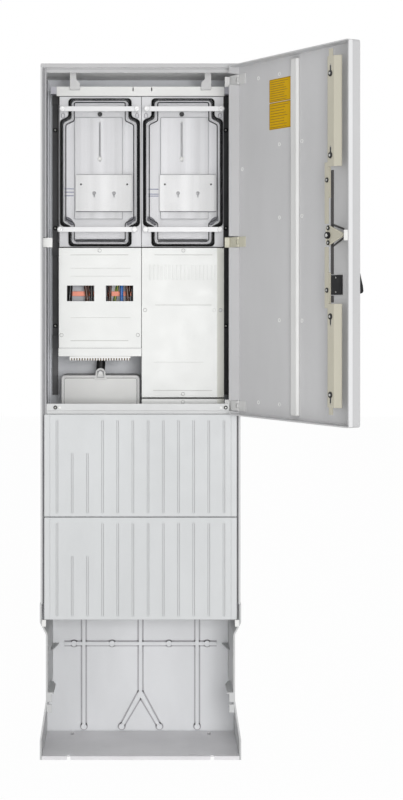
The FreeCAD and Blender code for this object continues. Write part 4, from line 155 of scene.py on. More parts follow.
def moulding(name, colour, grain=0.0012, rough=0.45, drift=0.05, relief=0.00008, edge=0.0012,
             flow=0.35, speck=0.25, cloud_scale=6.0):
    """Moulded plastic: a cloud of noise, drawn out upwards by the flow of the melt, and a share of
    speckle drift the colour between two near shades. Noise of the grain's size gives the height,
    slower noise moves the gloss, and corners are softened."""
    material, nodes, links, shader = new_finish(name)
    place = add_node(nodes, "TexCoord").outputs["Object"]
    drawn = add_node(nodes, "Mapping", Scale=(1.0, 1.0, flow))
    links.new(place, drawn.inputs["Vector"])
    cloud = add_node(nodes, "TexNoise", Scale=cloud_scale, Detail=4.0)
    fine = add_node(nodes, "TexNoise", Scale=1.0 / grain, Detail=2.0)
    slow = add_node(nodes, "TexNoise", Scale=22.0, Detail=3.0)
    links.new(drawn.outputs["Vector"], cloud.inputs["Vector"])
    links.new(place, fine.inputs["Vector"])
    links.new(place, slow.inputs["Vector"])
    specks, blend = add_node(nodes, "Math"), add_node(nodes, "Math")
    specks.operation, blend.operation = "MULTIPLY_ADD", "ADD"
    specks.inputs[1].default_value, specks.inputs[2].default_value = speck, -speck / 2
    links.new(fine.outputs["Fac"], specks.inputs[0])
    links.new(specks.outputs[0], blend.inputs[0])
    links.new(cloud.outputs["Fac"], blend.inputs[1])
    noise_low, noise_high = 0.3, 0.7
    shades = add_node(nodes, "ValToRGB")
    shades.name = "shades"
    ends = shades.color_ramp.elements
    ends[0].position, ends[1].position = noise_low, noise_high
    for element, factor in zip(ends, (1.0 - drift, 1.0 + drift / 2)):
        element.color = tuple(min(part * factor, 1.0) for part in colour[:3]) + (1.0,)
    links.new(blend.outputs[0], shades.inputs["Fac"])
    links.new(shades.outputs["Color"], shader.inputs["Base Color"])
    gloss = add_node(nodes, "MapRange", From_Min=noise_low, From_Max=noise_high,
                     To_Min=rough - 0.05, To_Max=rough + 0.06)
    links.new(slow.outputs["Fac"], gloss.inputs["Value"])
    links.new(gloss.outputs["Result"], shader.inputs["Roughness"])
    corner = add_node(nodes, "Bevel", Radius=edge)
    corner.samples = 4
    bump = add_node(nodes, "Bump", Strength=0.6, Distance=relief)
    links.new(fine.outputs["Fac"], bump.inputs["Height"])
    links.new(corner.outputs["Normal"], bump.inputs["Normal"])
    links.new(bump.outputs["Normal"], shader.inputs["Normal"])
    return material


def dress(material, *names):
    """Gives each named solid one finish."""
    for name in names:
        if cad[name].material_slots:
            for place in cad[name].material_slots:
                place.material = material
        else:
            cad[name].data.materials.append(material)


def second_tone(material, source, axis, middle, reach, colour):
    """Another colour where the object's place or normal on one axis lies within reach of the
    middle."""
    nodes, links = material.node_tree.nodes, material.node_tree.links
    parts, inside = add_node(nodes, "SeparateXYZ"), add_node(nodes, "Math")
    mix = add_node(nodes, "Mix")
    links.new(add_node(nodes, "TexCoord").outputs[source], parts.inputs["Vector"])
    inside.operation = "COMPARE"
    inside.inputs[1].default_value, inside.inputs[2].default_value = middle, reach
    links.new(parts.outputs[axis], inside.inputs[0])
    mix.data_type = "RGBA"
    mix.inputs["B"].default_value = colour
    links.new(inside.outputs[0], mix.inputs["Factor"])
    links.new(nodes["shades"].outputs["Color"], mix.inputs["A"])
    links.new(mix.outputs["Result"], nodes["Principled BSDF"].inputs["Base Color"])


def span(name, axis):
    """Lowest and highest place of a solid along one axis of the column's frame."""
    return tuple(float(corner["XYZ".index(axis)]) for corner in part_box(name))


shell_tone, wall_skin = tone(212, 213, 213), 0.0036
housing_grey = moulding("housing_grey", shell_tone, rough=0.48)
# Painted shade: the side walls' faces inside the housing are a darker grey.
wall_grey = moulding("wall_grey", shell_tone, rough=0.48)
second_tone(wall_grey, "Object", "X", 0.0, span("right_side_wall", "X")[1] - wall_skin,
            tone(176, 176, 178))
# Painted shade and light: the roof is a darker grey than the housing, and its underside near white.
roof_grey = moulding("roof_grey", tone(190, 190, 191), rough=0.48)
second_tone(roof_grey, "Normal", "Z", -1.0, 0.5, tone(250, 250, 250))
# Painted light: the back wall is near white, offsetting the shade deep in the housing.
inner_grey = moulding("inner_grey", tone(244, 246, 250), rough=0.5)
dress(housing_grey, "sill")
dress(wall_grey, "left_side_wall", "right_side_wall")
dress(roof_grey, "roof")
dress(inner_grey, "back_wall")

# Front panels: two pressed glass-fibre trays with upright flutes close the column below the door.
# They hang on flat tongues over the base and lift off for the cabling.
panel_grey = moulding("panel_grey", tone(209, 211, 212), rough=0.5)
dress(panel_grey, "upper_front_panel", "lower_front_panel")

# Ground base: two curved walls and a ribbed back wall of pressed glass fibre, bolted to a slotted
# floor plate. The back wall and the floor are paler than the side walls: painted light in the base.
base_grey = moulding("base_grey", tone(198, 199, 199), rough=0.52, drift=0.07)
# Painted light: the base's back wall and floor plate get paler greys than its side walls.
base_pale = moulding("base_pale", tone(238, 239, 241), rough=0.52, drift=0.07)
floor_grey = moulding("floor_grey", tone(232, 231, 233), rough=0.4, drift=0.08)
dress(base_grey, "base_left_wall", "base_right_wall")
dress(base_pale, "base_back_wall")
dress(floor_grey, "floor_plate")

# White trim: injection-moulded hooks, band, brackets and bars of nylon with a slight shine, which
# snap or screw onto the housing. The roof's brackets are greyer, and the band's end blocks lilac.
trim_white = moulding("trim_white", tone(234, 234, 232), rough=0.36, drift=0.03)
bar_white = moulding("bar_white", tone(230, 230, 231), rough=0.34, drift=0.02)
knob_white = moulding("knob_white", tone(246, 246, 246), rough=0.3, drift=0.02)
bracket_grey = moulding("bracket_grey", tone(206, 206, 206), rough=0.42)
block_lilac = moulding("block_lilac", tone(190, 190, 198), rough=0.45)
dress(trim_white, "panel_hooks", "top_band", "side_keeper", "guide_tab", "cable_comb")
dress(bar_white, "hood_bars")
dress(bracket_grey, "roof_brackets")
dress(block_lilac, "band_end_blocks")

# Rails and frames: dark grey channels stand on the back wall, with dark coated bars across them.
# Open frames of the same channel carry the covers of the lower fields.
rail_dark = moulding("rail_dark", tone(94, 94, 96), rough=0.5, drift=0.12)
dress(rail_dark, "mounting_rails", "field_frames", "cross_rails")


def plated_steel(name, colour, rough=0.32):
    """Bare or plated metal: fine noise moves the colour and the gloss and gives a faint grain in
    the height."""
    material, nodes, links, shader = new_finish(name)
    shader.inputs["Metallic"].default_value = 0.9
    grain = add_node(nodes, "TexNoise", Scale=420.0, Detail=5.0)
    links.new(add_node(nodes, "TexCoord").outputs["Object"], grain.inputs["Vector"])
    shades = add_node(nodes, "ValToRGB")
    for element, factor in zip(shades.color_ramp.elements, (0.78, 1.12)):
        element.color = tuple(min(part * factor, 1.0) for part in colour[:3]) + (1.0,)
    links.new(grain.outputs["Fac"], shades.inputs["Fac"])
    links.new(shades.outputs["Color"], shader.inputs["Base Color"])
    gloss = add_node(nodes, "MapRange", To_Min=rough - 0.08, To_Max=rough + 0.12)
    links.new(grain.outputs["Fac"], gloss.inputs["Value"])
    links.new(gloss.outputs["Result"], shader.inputs["Roughness"])
    bump = add_node(nodes, "Bump", Strength=0.3, Distance=0.00004)
    links.new(grain.outputs["Fac"], bump.inputs["Height"])
    links.new(bump.outputs["Normal"], shader.inputs["Normal"])
    return material


zinc = plated_steel("zinc", tone(196, 196, 194))
dress(zinc, "hinge_pins", "lever_pin")

# Rail bolts: turned black washers with a plated socket head, three on each rail. They hold the
# rails to the back wall.


def new_piece(name, sheets, material, body, smooth=True):
    """A mesh piece from grids of points, each closed round its columns. Equal points are merged,
    faces turned outwards, and edges over 35 degrees kept sharp."""
    same_point, sharp_angle = 0.000002, math.radians(35)
    points, faces, count = [], [], 0
    for sheet in sheets:
        rows, columns = sheet.shape[:2]
        row, column = np.meshgrid(np.arange(rows - 1), np.arange(columns), indexing="ij")
        first, after = count + row * columns, (column + 1) % columns
        quads = np.stack([first + column, first + after, first + columns + after,
                          first + columns + column], axis=-1)
        points.append(sheet.reshape(-1, 3))
        faces.append(quads.reshape(-1, 4))
        count += rows * columns
    mesh = bpy.data.meshes.new(name)
    mesh.from_pydata(np.concatenate(points).tolist(), [], np.concatenate(faces).tolist())
    shape = bmesh.new()
    shape.from_mesh(mesh)
    bmesh.ops.remove_doubles(shape, verts=shape.verts, dist=same_point)
    bmesh.ops.recalc_face_normals(shape, faces=shape.faces)
    shape.to_mesh(mesh)
    shape.free()
    mesh.polygons.foreach_set("use_smooth", [smooth] * len(mesh.polygons))
    if smooth:
        mesh.set_sharp_from_angle(angle=sharp_angle)
    mesh.materials.append(material)
    piece = bpy.data.objects.new(name, mesh)
    bpy.context.scene.collection.objects.link(piece)
    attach(piece, body)
    return piece


def turned(profile, centre, axis, sides=20):
    """Lathe form: radius and height run along the profile, and the angle runs round the axis."""
    profile, axis = np.array(profile), np.array(axis) / np.linalg.norm(axis)
    across = np.cross(axis, (0.0, 0.0, 1.0))
    across = across / np.linalg.norm(across)
    angle = np.linspace(0, 2 * math.pi, sides, endpoint=False)[:, None]
    ring = np.cos(angle) * across + np.sin(angle) * np.cross(axis, across)
    return (profile[:, 0, None, None] * ring + profile[:, 1, None, None] * axis
            + np.array(centre))


black_oxide = moulding("black_oxide", tone(22, 22, 23), rough=0.42, drift=0.2, grain=0.0006)
front = (0.0, -1.0, 0.0)
socket_head = [(0.0, 0.0006), (0.0014, 0.0006), (0.0020, 0.0020), (0.0027, 0.0024),
               (0.0033, 0.0020), (0.0034, 0.0), (0.0, 0.0)]
washer = [(0.0, 0.0004), (0.0036, 0.0004), (0.0040, 0.0026), (0.0054, 0.0030), (0.0068, 0.0024),
          (0.0074, 0.0), (0.0, 0.0)]
washer_floor = (0, 0.0004, 0)
rail_face = span("mounting_rails", "Y")[0]
rail_middle, lowest_bolt, bolt_spacing = 0.2655, 1.276, 0.305
rail_bolt_places = [(side * rail_middle, rail_face, lowest_bolt + step * bolt_spacing)
                    for side in (-1, 1) for step in range(3)]
rail_bolts = new_piece("rail_bolts", [turned(washer, place, front) for place in rail_bolt_places],
                       black_oxide, "column")
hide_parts("rail_screws")
rail_cores = [turned(socket_head, np.array(place) - washer_floor, front)
              for place in rail_bolt_places]
new_piece("rail_bolt_cores", rail_cores, zinc, "column")

# Sill screws: the same plated socket heads in smaller black rings. They hold the sill to the side
# walls.
sill_face, sill_level = span("sill", "Y")[0], 1.0387
sill_places = [(side * 0.252, sill_face, sill_level) for side in (-1, 1)]
sill_washer, sill_head = np.array(washer) * (0.8, 1.0), np.array(socket_head) * (0.85, 1.0)
sill_bolts = new_piece("sill_bolts", [turned(sill_washer, place, front) for place in sill_places],
                       black_oxide, "column")
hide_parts("sill_screws")
sill_cores = [turned(sill_head, np.array(place) - washer_floor, front) for place in sill_places]
new_piece("sill_bolt_cores", sill_cores, zinc, "column")

# Sill stops: a small square pad of white nylon is pressed into the sill beside each screw. The two
# keep the shut door from rubbing on the sill.


def rounded(wide, high, corner, steps=5):
    """Outline of a rectangle about its middle, with a quarter circle at each corner."""
    corner = max(min(corner, wide / 2, high / 2), 0.00001)
    quarter_turn = np.linspace(0, math.pi / 2, steps)
    spin = np.concatenate([quarter_turn + quarter * math.pi / 2 for quarter in range(4)])
    hand = np.repeat([[1, 1], [-1, 1], [-1, -1], [1, -1]], steps, axis=0)
    arc = np.stack([np.cos(spin), np.sin(spin)], axis=1)
    return hand * (np.array([wide, high]) / 2 - corner) + corner * arc


def facing_front(depth):
    """Puts flat shapes on an upright plane: across and up stay, and rise comes towards the
    front."""
    def place(across, height, rise):
        across, height, rise = np.broadcast_arrays(across, height, rise)
        return np.stack([across, depth - rise, height], axis=-1)
    return place


def plate(centre, size, corner, thickness, place, chamfer=0.0003):
    """A closed plate: the rounded outline rises to its thickness, is drawn in by the chamfer, and
    both faces close on the middle."""
    rows = []
    for inset, rise, share in ((0, 0, 0), (0, 0, 1), (0, thickness - chamfer, 1),
                               (chamfer, thickness, 1), (0, thickness, 0)):
        outline = rounded(size[0] - 2 * inset, size[1] - 2 * inset, corner - inset)
        flat = outline * share + np.array(centre)
        rows.append(place(flat[:, 0], flat[:, 1], rise))
    return np.stack(rows)


hair = 0.0001
stops = [plate((side * 0.2385, sill_level), (0.0070, 0.0070), 0.0012, 0.0012,
               facing_front(sill_face - 2 * hair)) for side in (-1, 1)]
new_piece("sill_stops", stops, trim_white, "column")

# Base ribs: two side ribs, a forked middle rib, a cross band and round bosses are pressed into the
# base's back wall to stiffen it. A thin darker line round each of them is painted shade at its
# flanks.


def carried(path, profile, place):
    """A closed profile carried round a closed flat path: its first number shifts it outwards
    across the path and its second number is its rise."""
    path, profile = np.array(path), np.array(profile)
    ahead = np.roll(path, -1, axis=0) - np.roll(path, 1, axis=0)
    outward = (np.stack([ahead[:, 1], -ahead[:, 0]], axis=1)
               / np.hypot(ahead[:, 0], ahead[:, 1])[:, None])
    flat = path[:, None] + outward[:, None] * profile[None, :, :1]
    sheet = place(flat[..., 0], flat[..., 1], np.broadcast_to(profile[:, 1], flat.shape[:2]))
    return np.concatenate([sheet, sheet[:1]])


def strip(width, thickness):
    """Profile of a flat strip that is centred on its path."""
    return [(-width / 2, 0.0), (width / 2, 0.0), (width / 2, thickness), (-width / 2, thickness)]


def upright_box(left, right, low, high):
    """Corners of an upright rectangle, from the lower left one round by the right."""
    return [(left, low), (right, low), (right, high), (left, high)]


half_rib, side_rib, rib_foot, rib_top = 0.0075, 0.177, 0.0240, 0.4540
fork_inner, fork_outer, fork_top, crotch = 0.0510, 0.0670, 0.1350, 0.1210
band_half, band_low, band_high, boss = 0.2380, 0.2755, 0.2905, 0.0210
rear_wall_face = span("base_back_wall", "Y")[1] - 0.006
rib_paths = [upright_box(side * side_rib - half_rib, side * side_rib + half_rib, rib_foot, rib_top)
             for side in (-1, 1)]
rib_paths += [[(side * fork_inner, rib_foot), (side * fork_outer, rib_foot),
               (side * half_rib, fork_top), (-side * half_rib, fork_top),
               (-side * half_rib, crotch)] for side in (-1, 1)]
rib_paths += [upright_box(-half_rib, half_rib, crotch, rib_top),
              upright_box(-band_half, band_half, band_low, band_high)]
rib_paths += [np.array((side * x, z)) + rounded(boss, boss, boss / 2) for side in (-1, 1)
              for x, z in ((0.208, 0.283), (0.089, 0.283), (0.177, 0.024), (0.059, 0.024))]
# Painted shade: thin darker strips round the outline of each rib and boss.
groove_grey = moulding("groove_grey", tone(190, 188, 192), rough=0.55, drift=0.1)
rib_shade_strips = [carried(path, strip(0.0040, 0.0003), facing_front(rear_wall_face - hair))
           for path in rib_paths]
new_piece("rib_grooves", rib_shade_strips, groove_grey, "column", smooth=False)

# Flute shade: each upright flute is pressed into its front panel, and fine darker lines on its
# floor are painted shade of its two flanks, a narrow one on the left and a wider one on the right.
# Two flutes of each panel end lower.


def fine_line(centre, size, corner, thickness, place):
    """A plate under a millimetre thick, with the least chamfer."""
    return plate(centre, size, corner, thickness, place, hair)


flute_floor = span("upper_front_panel", "Y")[0] + 0.002
flute_spacing, short_flutes, shorter_by = 0.0448, (-4.5, -3.5), 0.097
flute_edges = []
for panel in ("lower_front_panel", "upper_front_panel"):
    low, high = span(panel, "Z")[0] + 0.0095, span(panel, "Z")[1] - 0.0160
    for step in np.arange(12) - 5.5:
        top = high - shorter_by if step in short_flutes else high
        for off, wide in ((-0.0024, 0.0009), (0.0022, 0.0016)):
            flute_edges.append(fine_line((step * flute_spacing + off, (low + top) / 2),
                                         (wide, top - low - 0.004), 0.0004, 0.0002,
                                         facing_front(flute_floor - hair)))
# Painted shade: the flute lines are a darker grey than the panels.
flute_grey = moulding("flute_grey", tone(187, 187, 188), rough=0.5)
new_piece("flute_edges", flute_edges, flute_grey, "column", smooth=False)

# Meter fields: white moulded trays with black rubber gaskets, under clear polycarbonate hoods. The
# sliding meter carriers and the terminal plates in them are thin white sheet; their faint light and
# dark upright bands are a painted reflection of the hoods.


def shine(material, level):
    """Sets how much light the surface mirrors, where 0.5 is plain plastic."""
    material.node_tree.nodes["Principled BSDF"].inputs["Specular IOR Level"].default_value = level


tray_white = moulding("tray_white", tone(226, 226, 228), rough=0.42)
rubber_black = moulding("rubber_black", tone(12, 12, 13), rough=0.6, relief=0.00012)
shine(rubber_black, 0.1)
# Painted reflection: colour bands stretched upright on the carriers and terminal plates.
carrier_white = moulding("carrier_white", tone(222, 222, 224), rough=0.4, drift=0.22, flow=0.01,
                         speck=0.05, cloud_scale=22.0)
terminal_white = moulding("terminal_white", tone(232, 232, 232), rough=0.4, drift=0.16, flow=0.01,
                          speck=0.05, cloud_scale=24.0)
dress(tray_white, "meter_trays")
dress(carrier_white, "meter_carriers")
dress(terminal_white, "terminal_plates")
dress(rubber_black, "meter_gaskets")

# Meter hoods: vacuum-formed clear sheet, which hides little face on and more at a slant, with slow
# ripples in its surface. White bars and knobs clamp them on the gaskets.
clear_sheet, clear_nodes, clear_links, clear = new_finish("clear_sheet")
clear.inputs["Base Color"].default_value = (0.70, 0.71, 0.75, 1.0)
clear.inputs["Roughness"].default_value = 0.12
shine(clear_sheet, 0.3)
slant = add_node(clear_nodes, "LayerWeight", Blend=0.35)
cover_share = add_node(clear_nodes, "MapRange", To_Min=0.02, To_Max=0.16)
ripple = add_node(clear_nodes, "TexNoise", Scale=9.0)
waves = add_node(clear_nodes, "Bump", Strength=0.08, Distance=0.001)
spot = add_node(clear_nodes, "TexCoord")
clear_links.new(slant.outputs["Facing"], cover_share.inputs["Value"])
clear_links.new(cover_share.outputs["Result"], clear.inputs["Alpha"])
clear_links.new(spot.outputs["Object"], ripple.inputs["Vector"])
clear_links.new(ripple.outputs["Fac"], waves.inputs["Height"])
clear_links.new(waves.outputs["Normal"], clear.inputs["Normal"])
dress(clear_sheet, "meter_hoods")

# Hood shoulders: a dark rubber lip is bonded inside the front of each hood. It follows the hood's
# outline with its narrower ends and bent corners.


def softened(corners, cut, steps=5):
    """A closed outline whose corners are bent: each corner becomes the square curve between two
    points that lie the cut away from it on its two sides."""
    corners = np.array(corners)
    before, after = np.roll(corners, 1, axis=0) - corners, np.roll(corners, -1, axis=0) - corners
    before = before / np.linalg.norm(before, axis=1)[:, None] * cut
    after = after / np.linalg.norm(after, axis=1)[:, None] * cut
    share = np.linspace(0, 1, steps)[None, :, None]
    curves = corners[:, None] + before[:, None] * (1 - share) ** 2 + after[:, None] * share ** 2
    return curves.reshape(-1, 2)


def two_centres(name, half):
    """Middles across of two like solids in one node, from its reach and half their width."""
    left, right = span(name, "X")
    return left + half, right - half


def hood_outline(centre, inset):
    """The hood's outline, narrower at both ends and drawn in by an inset: the right half by its
    points, and the left half as its mirror image."""
    half, neck = hood_half - inset, hood_neck - inset
    foot, head = hood_foot + inset, hood_head - inset
    side = [(neck, foot), (neck, foot + 0.053), (half, foot + 0.065), (half, head - 0.067),
            (neck, head - 0.055), (neck, head)]
    return [(centre + x, z) for x, z in side] + [(centre - x, z) for x, z in reversed(side)]


hood_half, hood_neck = 0.114, 0.0885
hood_foot, hood_head = span("meter_hoods", "Z")
hood_centres = two_centres("meter_hoods", hood_half)
hood_shoulder = span("meter_hoods", "Y")[0] + 0.0045
lip_dark = moulding("lip_dark", tone(20, 21, 26), rough=0.35, drift=0.2)
shine(lip_dark, 0.15)
lips = [carried(softened(hood_outline(centre, 0.0118), 0.006), strip(0.0034, 0.0012),
                facing_front(hood_shoulder)) for centre in hood_centres]
new_piece("hood_shoulders", lips, lip_dark, "column")

# Corner seals: moulded quarter rings of grey rubber, pressed into the trays where the hoods step
# round the lower knobs. Across the ring the rise is a cosine with three crests, and the ends close
# on their middle.
seal_grey = moulding("seal_grey", tone(132, 132, 138), rough=0.5)
carrier_face, tray_floor = span("meter_carriers", "Y")
ring_inner, ring_outer, ridges = 0.0150, 0.0290, 3
sweep, share = np.radians(np.linspace(5, 88, 24))[:, None], np.linspace(0, 1, 19)
seal_out = np.concatenate([[ring_inner, ring_outer], ring_outer - 0.0140 * share])
seal_rise = np.concatenate([[0.0, 0.0], 0.0030 + 0.0014 * np.cos(share * 2 * ridges * math.pi)])
corner_seals = []
for centre in hood_centres:
    for hand in (-1, 1):
        across = centre + hand * (0.1083 - np.cos(sweep) * seal_out)
        height = hood_foot + 0.0585 + np.sin(sweep) * seal_out
        sheet = facing_front(tray_floor + 2 * hair)(across, height, seal_rise)
        ends = sheet[[0, -1]].mean(axis=1, keepdims=True) + 0 * sheet[[0, -1]]
        corner_seals.append(np.concatenate([ends[:1], sheet, ends[1:]]))
seals = new_piece("corner_seals", corner_seals, seal_grey, "column")
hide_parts("cable_grommets")

# Carrier edges: the thin sheet of the carriers and terminal plates is folded back at its rims, and
# the fine grey lines along them are painted shade under the folds. The slot of each tray has a line
# of painted shade beside it, and a dark strip along each terminal plate's foot is painted shade
# too.
carrier_half, terminal_half, slider_half, fold = 0.073, 0.086, 0.0065, 0.0005
carrier_foot, carrier_head = span("meter_carriers", "Z")
carrier_path = upright_box(fold - carrier_half, carrier_half - fold, carrier_foot + fold,
                           carrier_head - fold)
terminal_centres = two_centres("terminal_plates", terminal_half)
slot_centres = two_centres("slider_screws", slider_half)
terminal_face = span("terminal_plates", "Y")[0]
terminal_foot, terminal_head = span("terminal_plates", "Z")
on_terminals, on_trays = facing_front(terminal_face - hair), facing_front(tray_floor + hair)
line_grey = moulding("line_grey", tone(128, 129, 134), rough=0.5, drift=0.1)
# Painted shade: fine grey lines round the carriers, over the terminal plates and beside the slots.
carrier_edges = [carried(softened(np.array(carrier_path) + (centre, 0), 0.002),
                         strip(0.0010, 0.0003), facing_front(carrier_face - hair))
                 for centre in two_centres("meter_carriers", carrier_half)]
carrier_edges += [fine_line((centre, terminal_head - 0.0006), (0.170, 0.0010), 0.0004, 0.0003,
                            on_terminals) for centre in terminal_centres]
carrier_edges += [fine_line((centre - 0.0019, 1.846), (0.0016, 0.100), 0.0004, 0.0006, on_trays)
                  for centre in slot_centres]
new_piece("carrier_edges", carrier_edges, line_grey, "column", smooth=False)
# Painted shade: a dark grey strip along the foot of each terminal plate.
rim_grey = moulding("rim_grey", tone(96, 97, 101), rough=0.5)
foot_shade_strips = [plate((centre, terminal_foot + 0.0012), (0.171, 0.0022), 0.0008, 0.0007,
                    on_terminals) for centre in terminal_centres]
new_piece("terminal_rims", foot_shade_strips, rim_grey, "column", smooth=False)

# Meter fixings: a square black nut sits behind each fixing hole of the terminal plates. The
# keyholes between them have a turned-up rim.


def bead(width, thickness, steps=7):
    """Profile of a half-round bead: an arch over the path, closed by its flat foot."""
    arch = np.linspace(0, math.pi, steps)
    return np.stack([np.cos(arch) * width / 2, np.sin(arch) * thickness], axis=1)


behind_plate = facing_front(terminal_face + 0.0038)
nuts = [plate((centre + hand * 0.070, 1.708), (0.0074, 0.0074), 0.0008, 0.0016, behind_plate)
        for centre in terminal_centres for hand in (-1, 1)]
new_piece("meter_nuts", nuts, black_oxide, "column")
rims = [carried(np.array((centre + hand * 0.030, 1.681)) + rounded(0.0098, 0.0098, 0.0049),
                bead(0.0010, 0.0005), on_terminals)
        for centre in terminal_centres for hand in (-1, 1)]
new_piece("keyhole_rims", rims, line_grey, "column")

# Slider screws: a knurled black screw clamps each carrier over its slot, and a white nylon ring
# guides it at the slot's foot. Every second edge of the screw's lathe form is drawn in for the
# knurl.
knurl = np.array([1.0, 0.93] * 12)
knob_screw = [(0.0, 0.0030), (0.0030, 0.0032), (0.0042, 0.0046), (0.0068, 0.0050),
              (0.0074, 0.0040), (0.0074, 0.0), (0.0, 0.0)]
knurled = (turned(knob_screw, (0.0, 0.0, 0.0), front, sides=24)
           * (knurl[None, :, None] * np.array([1, 0, 1]) + np.array([0, 1, 0])))
new_piece("slot_screws", [knurled + (centre, tray_floor + hair, 1.9225) for centre in slot_centres],
          black_oxide, "column")
slider_ring = [(0.0, 0.0058), (0.0030, 0.0058), (0.0036, 0.0046), (0.0044, 0.0046),
               (0.0050, 0.0058), (0.0062, 0.0054), (0.0066, 0.0040), (0.0066, 0.0006),
               (0.0, 0.0006)]
slider_rings = [turned(slider_ring, (centre, carrier_face + hair, 1.786), front)
                for centre in slot_centres]
sliders = new_piece("slider_rings", slider_rings, trim_white, "column")
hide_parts("slider_screws")

# Level marks: three fine blue-grey ribs moulded on the left of each tray's floor, beside the
# carrier. They are a scale for the height that it is set to.
mark_blue = moulding("mark_blue", tone(78, 86, 136), rough=0.45)
mark_rows = ((-0.2175, 0.029, (1.6955, 1.6855, 1.6745)),
             (0.0390, 0.032, (1.6945, 1.6795, 1.6735)))
marks = [fine_line((x, z), (wide, 0.0020), 0.0006, 0.0004, on_trays)
         for x, wide, heights in mark_rows for z in heights]
new_piece("level_marks", marks, mark_blue, "column", smooth=False)

# Clip rings: oval spring clips of clear plastic, bent from half-round bead. They are pushed over
# the bosses on both sides of each hood's upper end.
clip_clear = moulding("clip_clear", tone(176, 174, 180), rough=0.25, drift=0.1)
clips = [carried(np.array((centre + hand * 0.112, 1.9150)) + rounded(0.0086, 0.0150, 0.0043),
                 bead(0.0018, 0.0016), facing_front(span("meter_trays", "Y")[0] - 3 * hair))
         for centre in hood_centres for hand in (-1, 1)]
new_piece("clip_rings", clips, clip_clear, "column")

# Hood knobs: turned white nylon knobs with a domed, dished head, four to a hood. They are screwed
# through the bars into the trays.
knob_face = span("hood_knobs", "Y")[0]
knob_rows = ((1.9315, (-0.2348, -0.0108, 0.0192, 0.2432)),
             (1.5690, (-0.2416, -0.0176, 0.0154, 0.2394)))
knob_profile = [(0.0, 0.0022), (0.0018, 0.0021), (0.0026, 0.0012), (0.0034, 0.0003),
                (0.0052, 0.0), (0.0072, 0.0008), (0.0085, 0.0026), (0.0088, 0.0050),
                (0.0082, 0.0070), (0.0060, 0.0077), (0.0040, 0.0078), (0.0040, 0.0500),
                (0.0, 0.0500)]
knob_heads = [turned(knob_profile, (x, knob_face, height), (0, 1, 0))
              for height, places in knob_rows for x in places]
knobs = new_piece("dished_knobs", knob_heads, knob_white, "column")
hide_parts("hood_knobs")

# Covers: thin white moulded trays over the fuse field and the spare fields, screwed to the frames.
# The right covers' outer edge slopes back, and the warmer white there is a painted reflection.
cover_white = moulding("cover_white", tone(231, 232, 230), rough=0.4, drift=0.025)
sloped_white = moulding("sloped_white", tone(231, 232, 230), rough=0.4, drift=0.025)
# Painted reflection: a warmer, lighter white on the sloping edge.
second_tone(sloped_white, "Object", "X", 0.2600, 0.0296, tone(238, 238, 230))
dress(cover_white, "fuse_cover")
dress(sloped_white, "blank_cover", "lower_cover")

# Pressed lines: low ribs across the covers that stiffen them. Some are distinct, others so slight
# that they hardly show, and a fine seam runs over the apron of the fuse cover.
cover_face = span("blank_cover", "Y")[0]
on_covers = facing_front(cover_face + hair)
press_grey = moulding("press_grey", tone(196, 196, 193), rough=0.45, drift=0.04)
press_lines = [(-0.1234, 1.4926, 0.174), (-0.1234, 1.2347, 0.174), (0.1290, 1.4926, 0.174),
               (0.1290, 1.3420, 0.170), (0.1270, 1.0850, 0.178)]
pressed = [fine_line((x, z), (wide, 0.0016), 0.0007, 0.0004, on_covers)
           for x, z, wide in press_lines]
new_piece("pressed_lines", pressed, press_grey, "column", smooth=False)
faint_grey = moulding("faint_grey", tone(220, 220, 218), rough=0.45, drift=0.03)
faint_lines = [(-0.120, 1.4523, 0.180), (-0.120, 1.4285, 0.180), (-0.120, 1.3040, 0.180),
               (0.115, 1.1700, 0.150)]
faint = [fine_line((x, z), (wide, 0.0012), 0.0005, 0.0003, on_covers)
         for x, z, wide in faint_lines]
new_piece("faint_lines", faint, faint_grey, "column", smooth=False)
seam = fine_line((-0.1218, 1.2121), (0.2480, 0.0013), 0.0005, 0.0003, on_covers)
new_piece("apron_seam", [seam], line_grey, "column", smooth=False)

# Cover caps: each cover screw is hidden by a low white cap that sits in a fine grey ring. One cap
# stands on the right cover's sloping edge, with a plain plug beside it.
slope_front = (0.43, -0.90, 0.0)
cap_level = 1.3269
cap_spots = ((-0.1229, 1.5058), (-0.2376, 1.2518), (-0.0079, 1.2518), (0.1286, 1.5058),
             (0.0135, cap_level), (0.1277, 1.0745), (0.1277, 1.0504))
cap_places = [((x, cover_face + 2 * hair, z), front) for x, z in cap_spots]
cap_places.append(((0.2408, cover_face + 0.0052, cap_level), slope_front))
cap = [(0.0, 0.0013), (0.0030, 0.0016), (0.0044, 0.0013), (0.0048, 0.0), (0.0, 0.0)]
caps = new_piece("cover_caps", [turned(cap, place, axis) for place, axis in cap_places],
                 cover_white, "column")
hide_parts("cover_screws")
plug = [(0.0, 0.0007), (0.0046, 0.0006), (0.0052, 0.0), (0.0, 0.0)]
new_piece("cover_plug", [turned(plug, (0.2208, cover_face + hair, cap_level), front)],
          cover_white, "column")
ring_grey = moulding("ring_grey", tone(176, 176, 174), rough=0.4)
cap_ring = [(0.0, 0.0004), (0.0050, 0.0004), (0.0054, 0.0007), (0.0058, 0.0004), (0.0058, 0.0),
            (0.0, 0.0)]
new_piece("cover_cap_rings", [turned(cap_ring, place, axis) for place, axis in cap_places],
          ring_grey, "column")

# Busbars: bare copper strips lie in slotted dark holders, in front of a pale insulating plate. A
# screen of the same pale sheet is clamped between them. The near white of both is painted light in
# the shaded space behind the cover.
left_field = sum(span("busbar_plate", "X")) / 2
copper = plated_steel("copper", tone(204, 136, 118), rough=0.5)
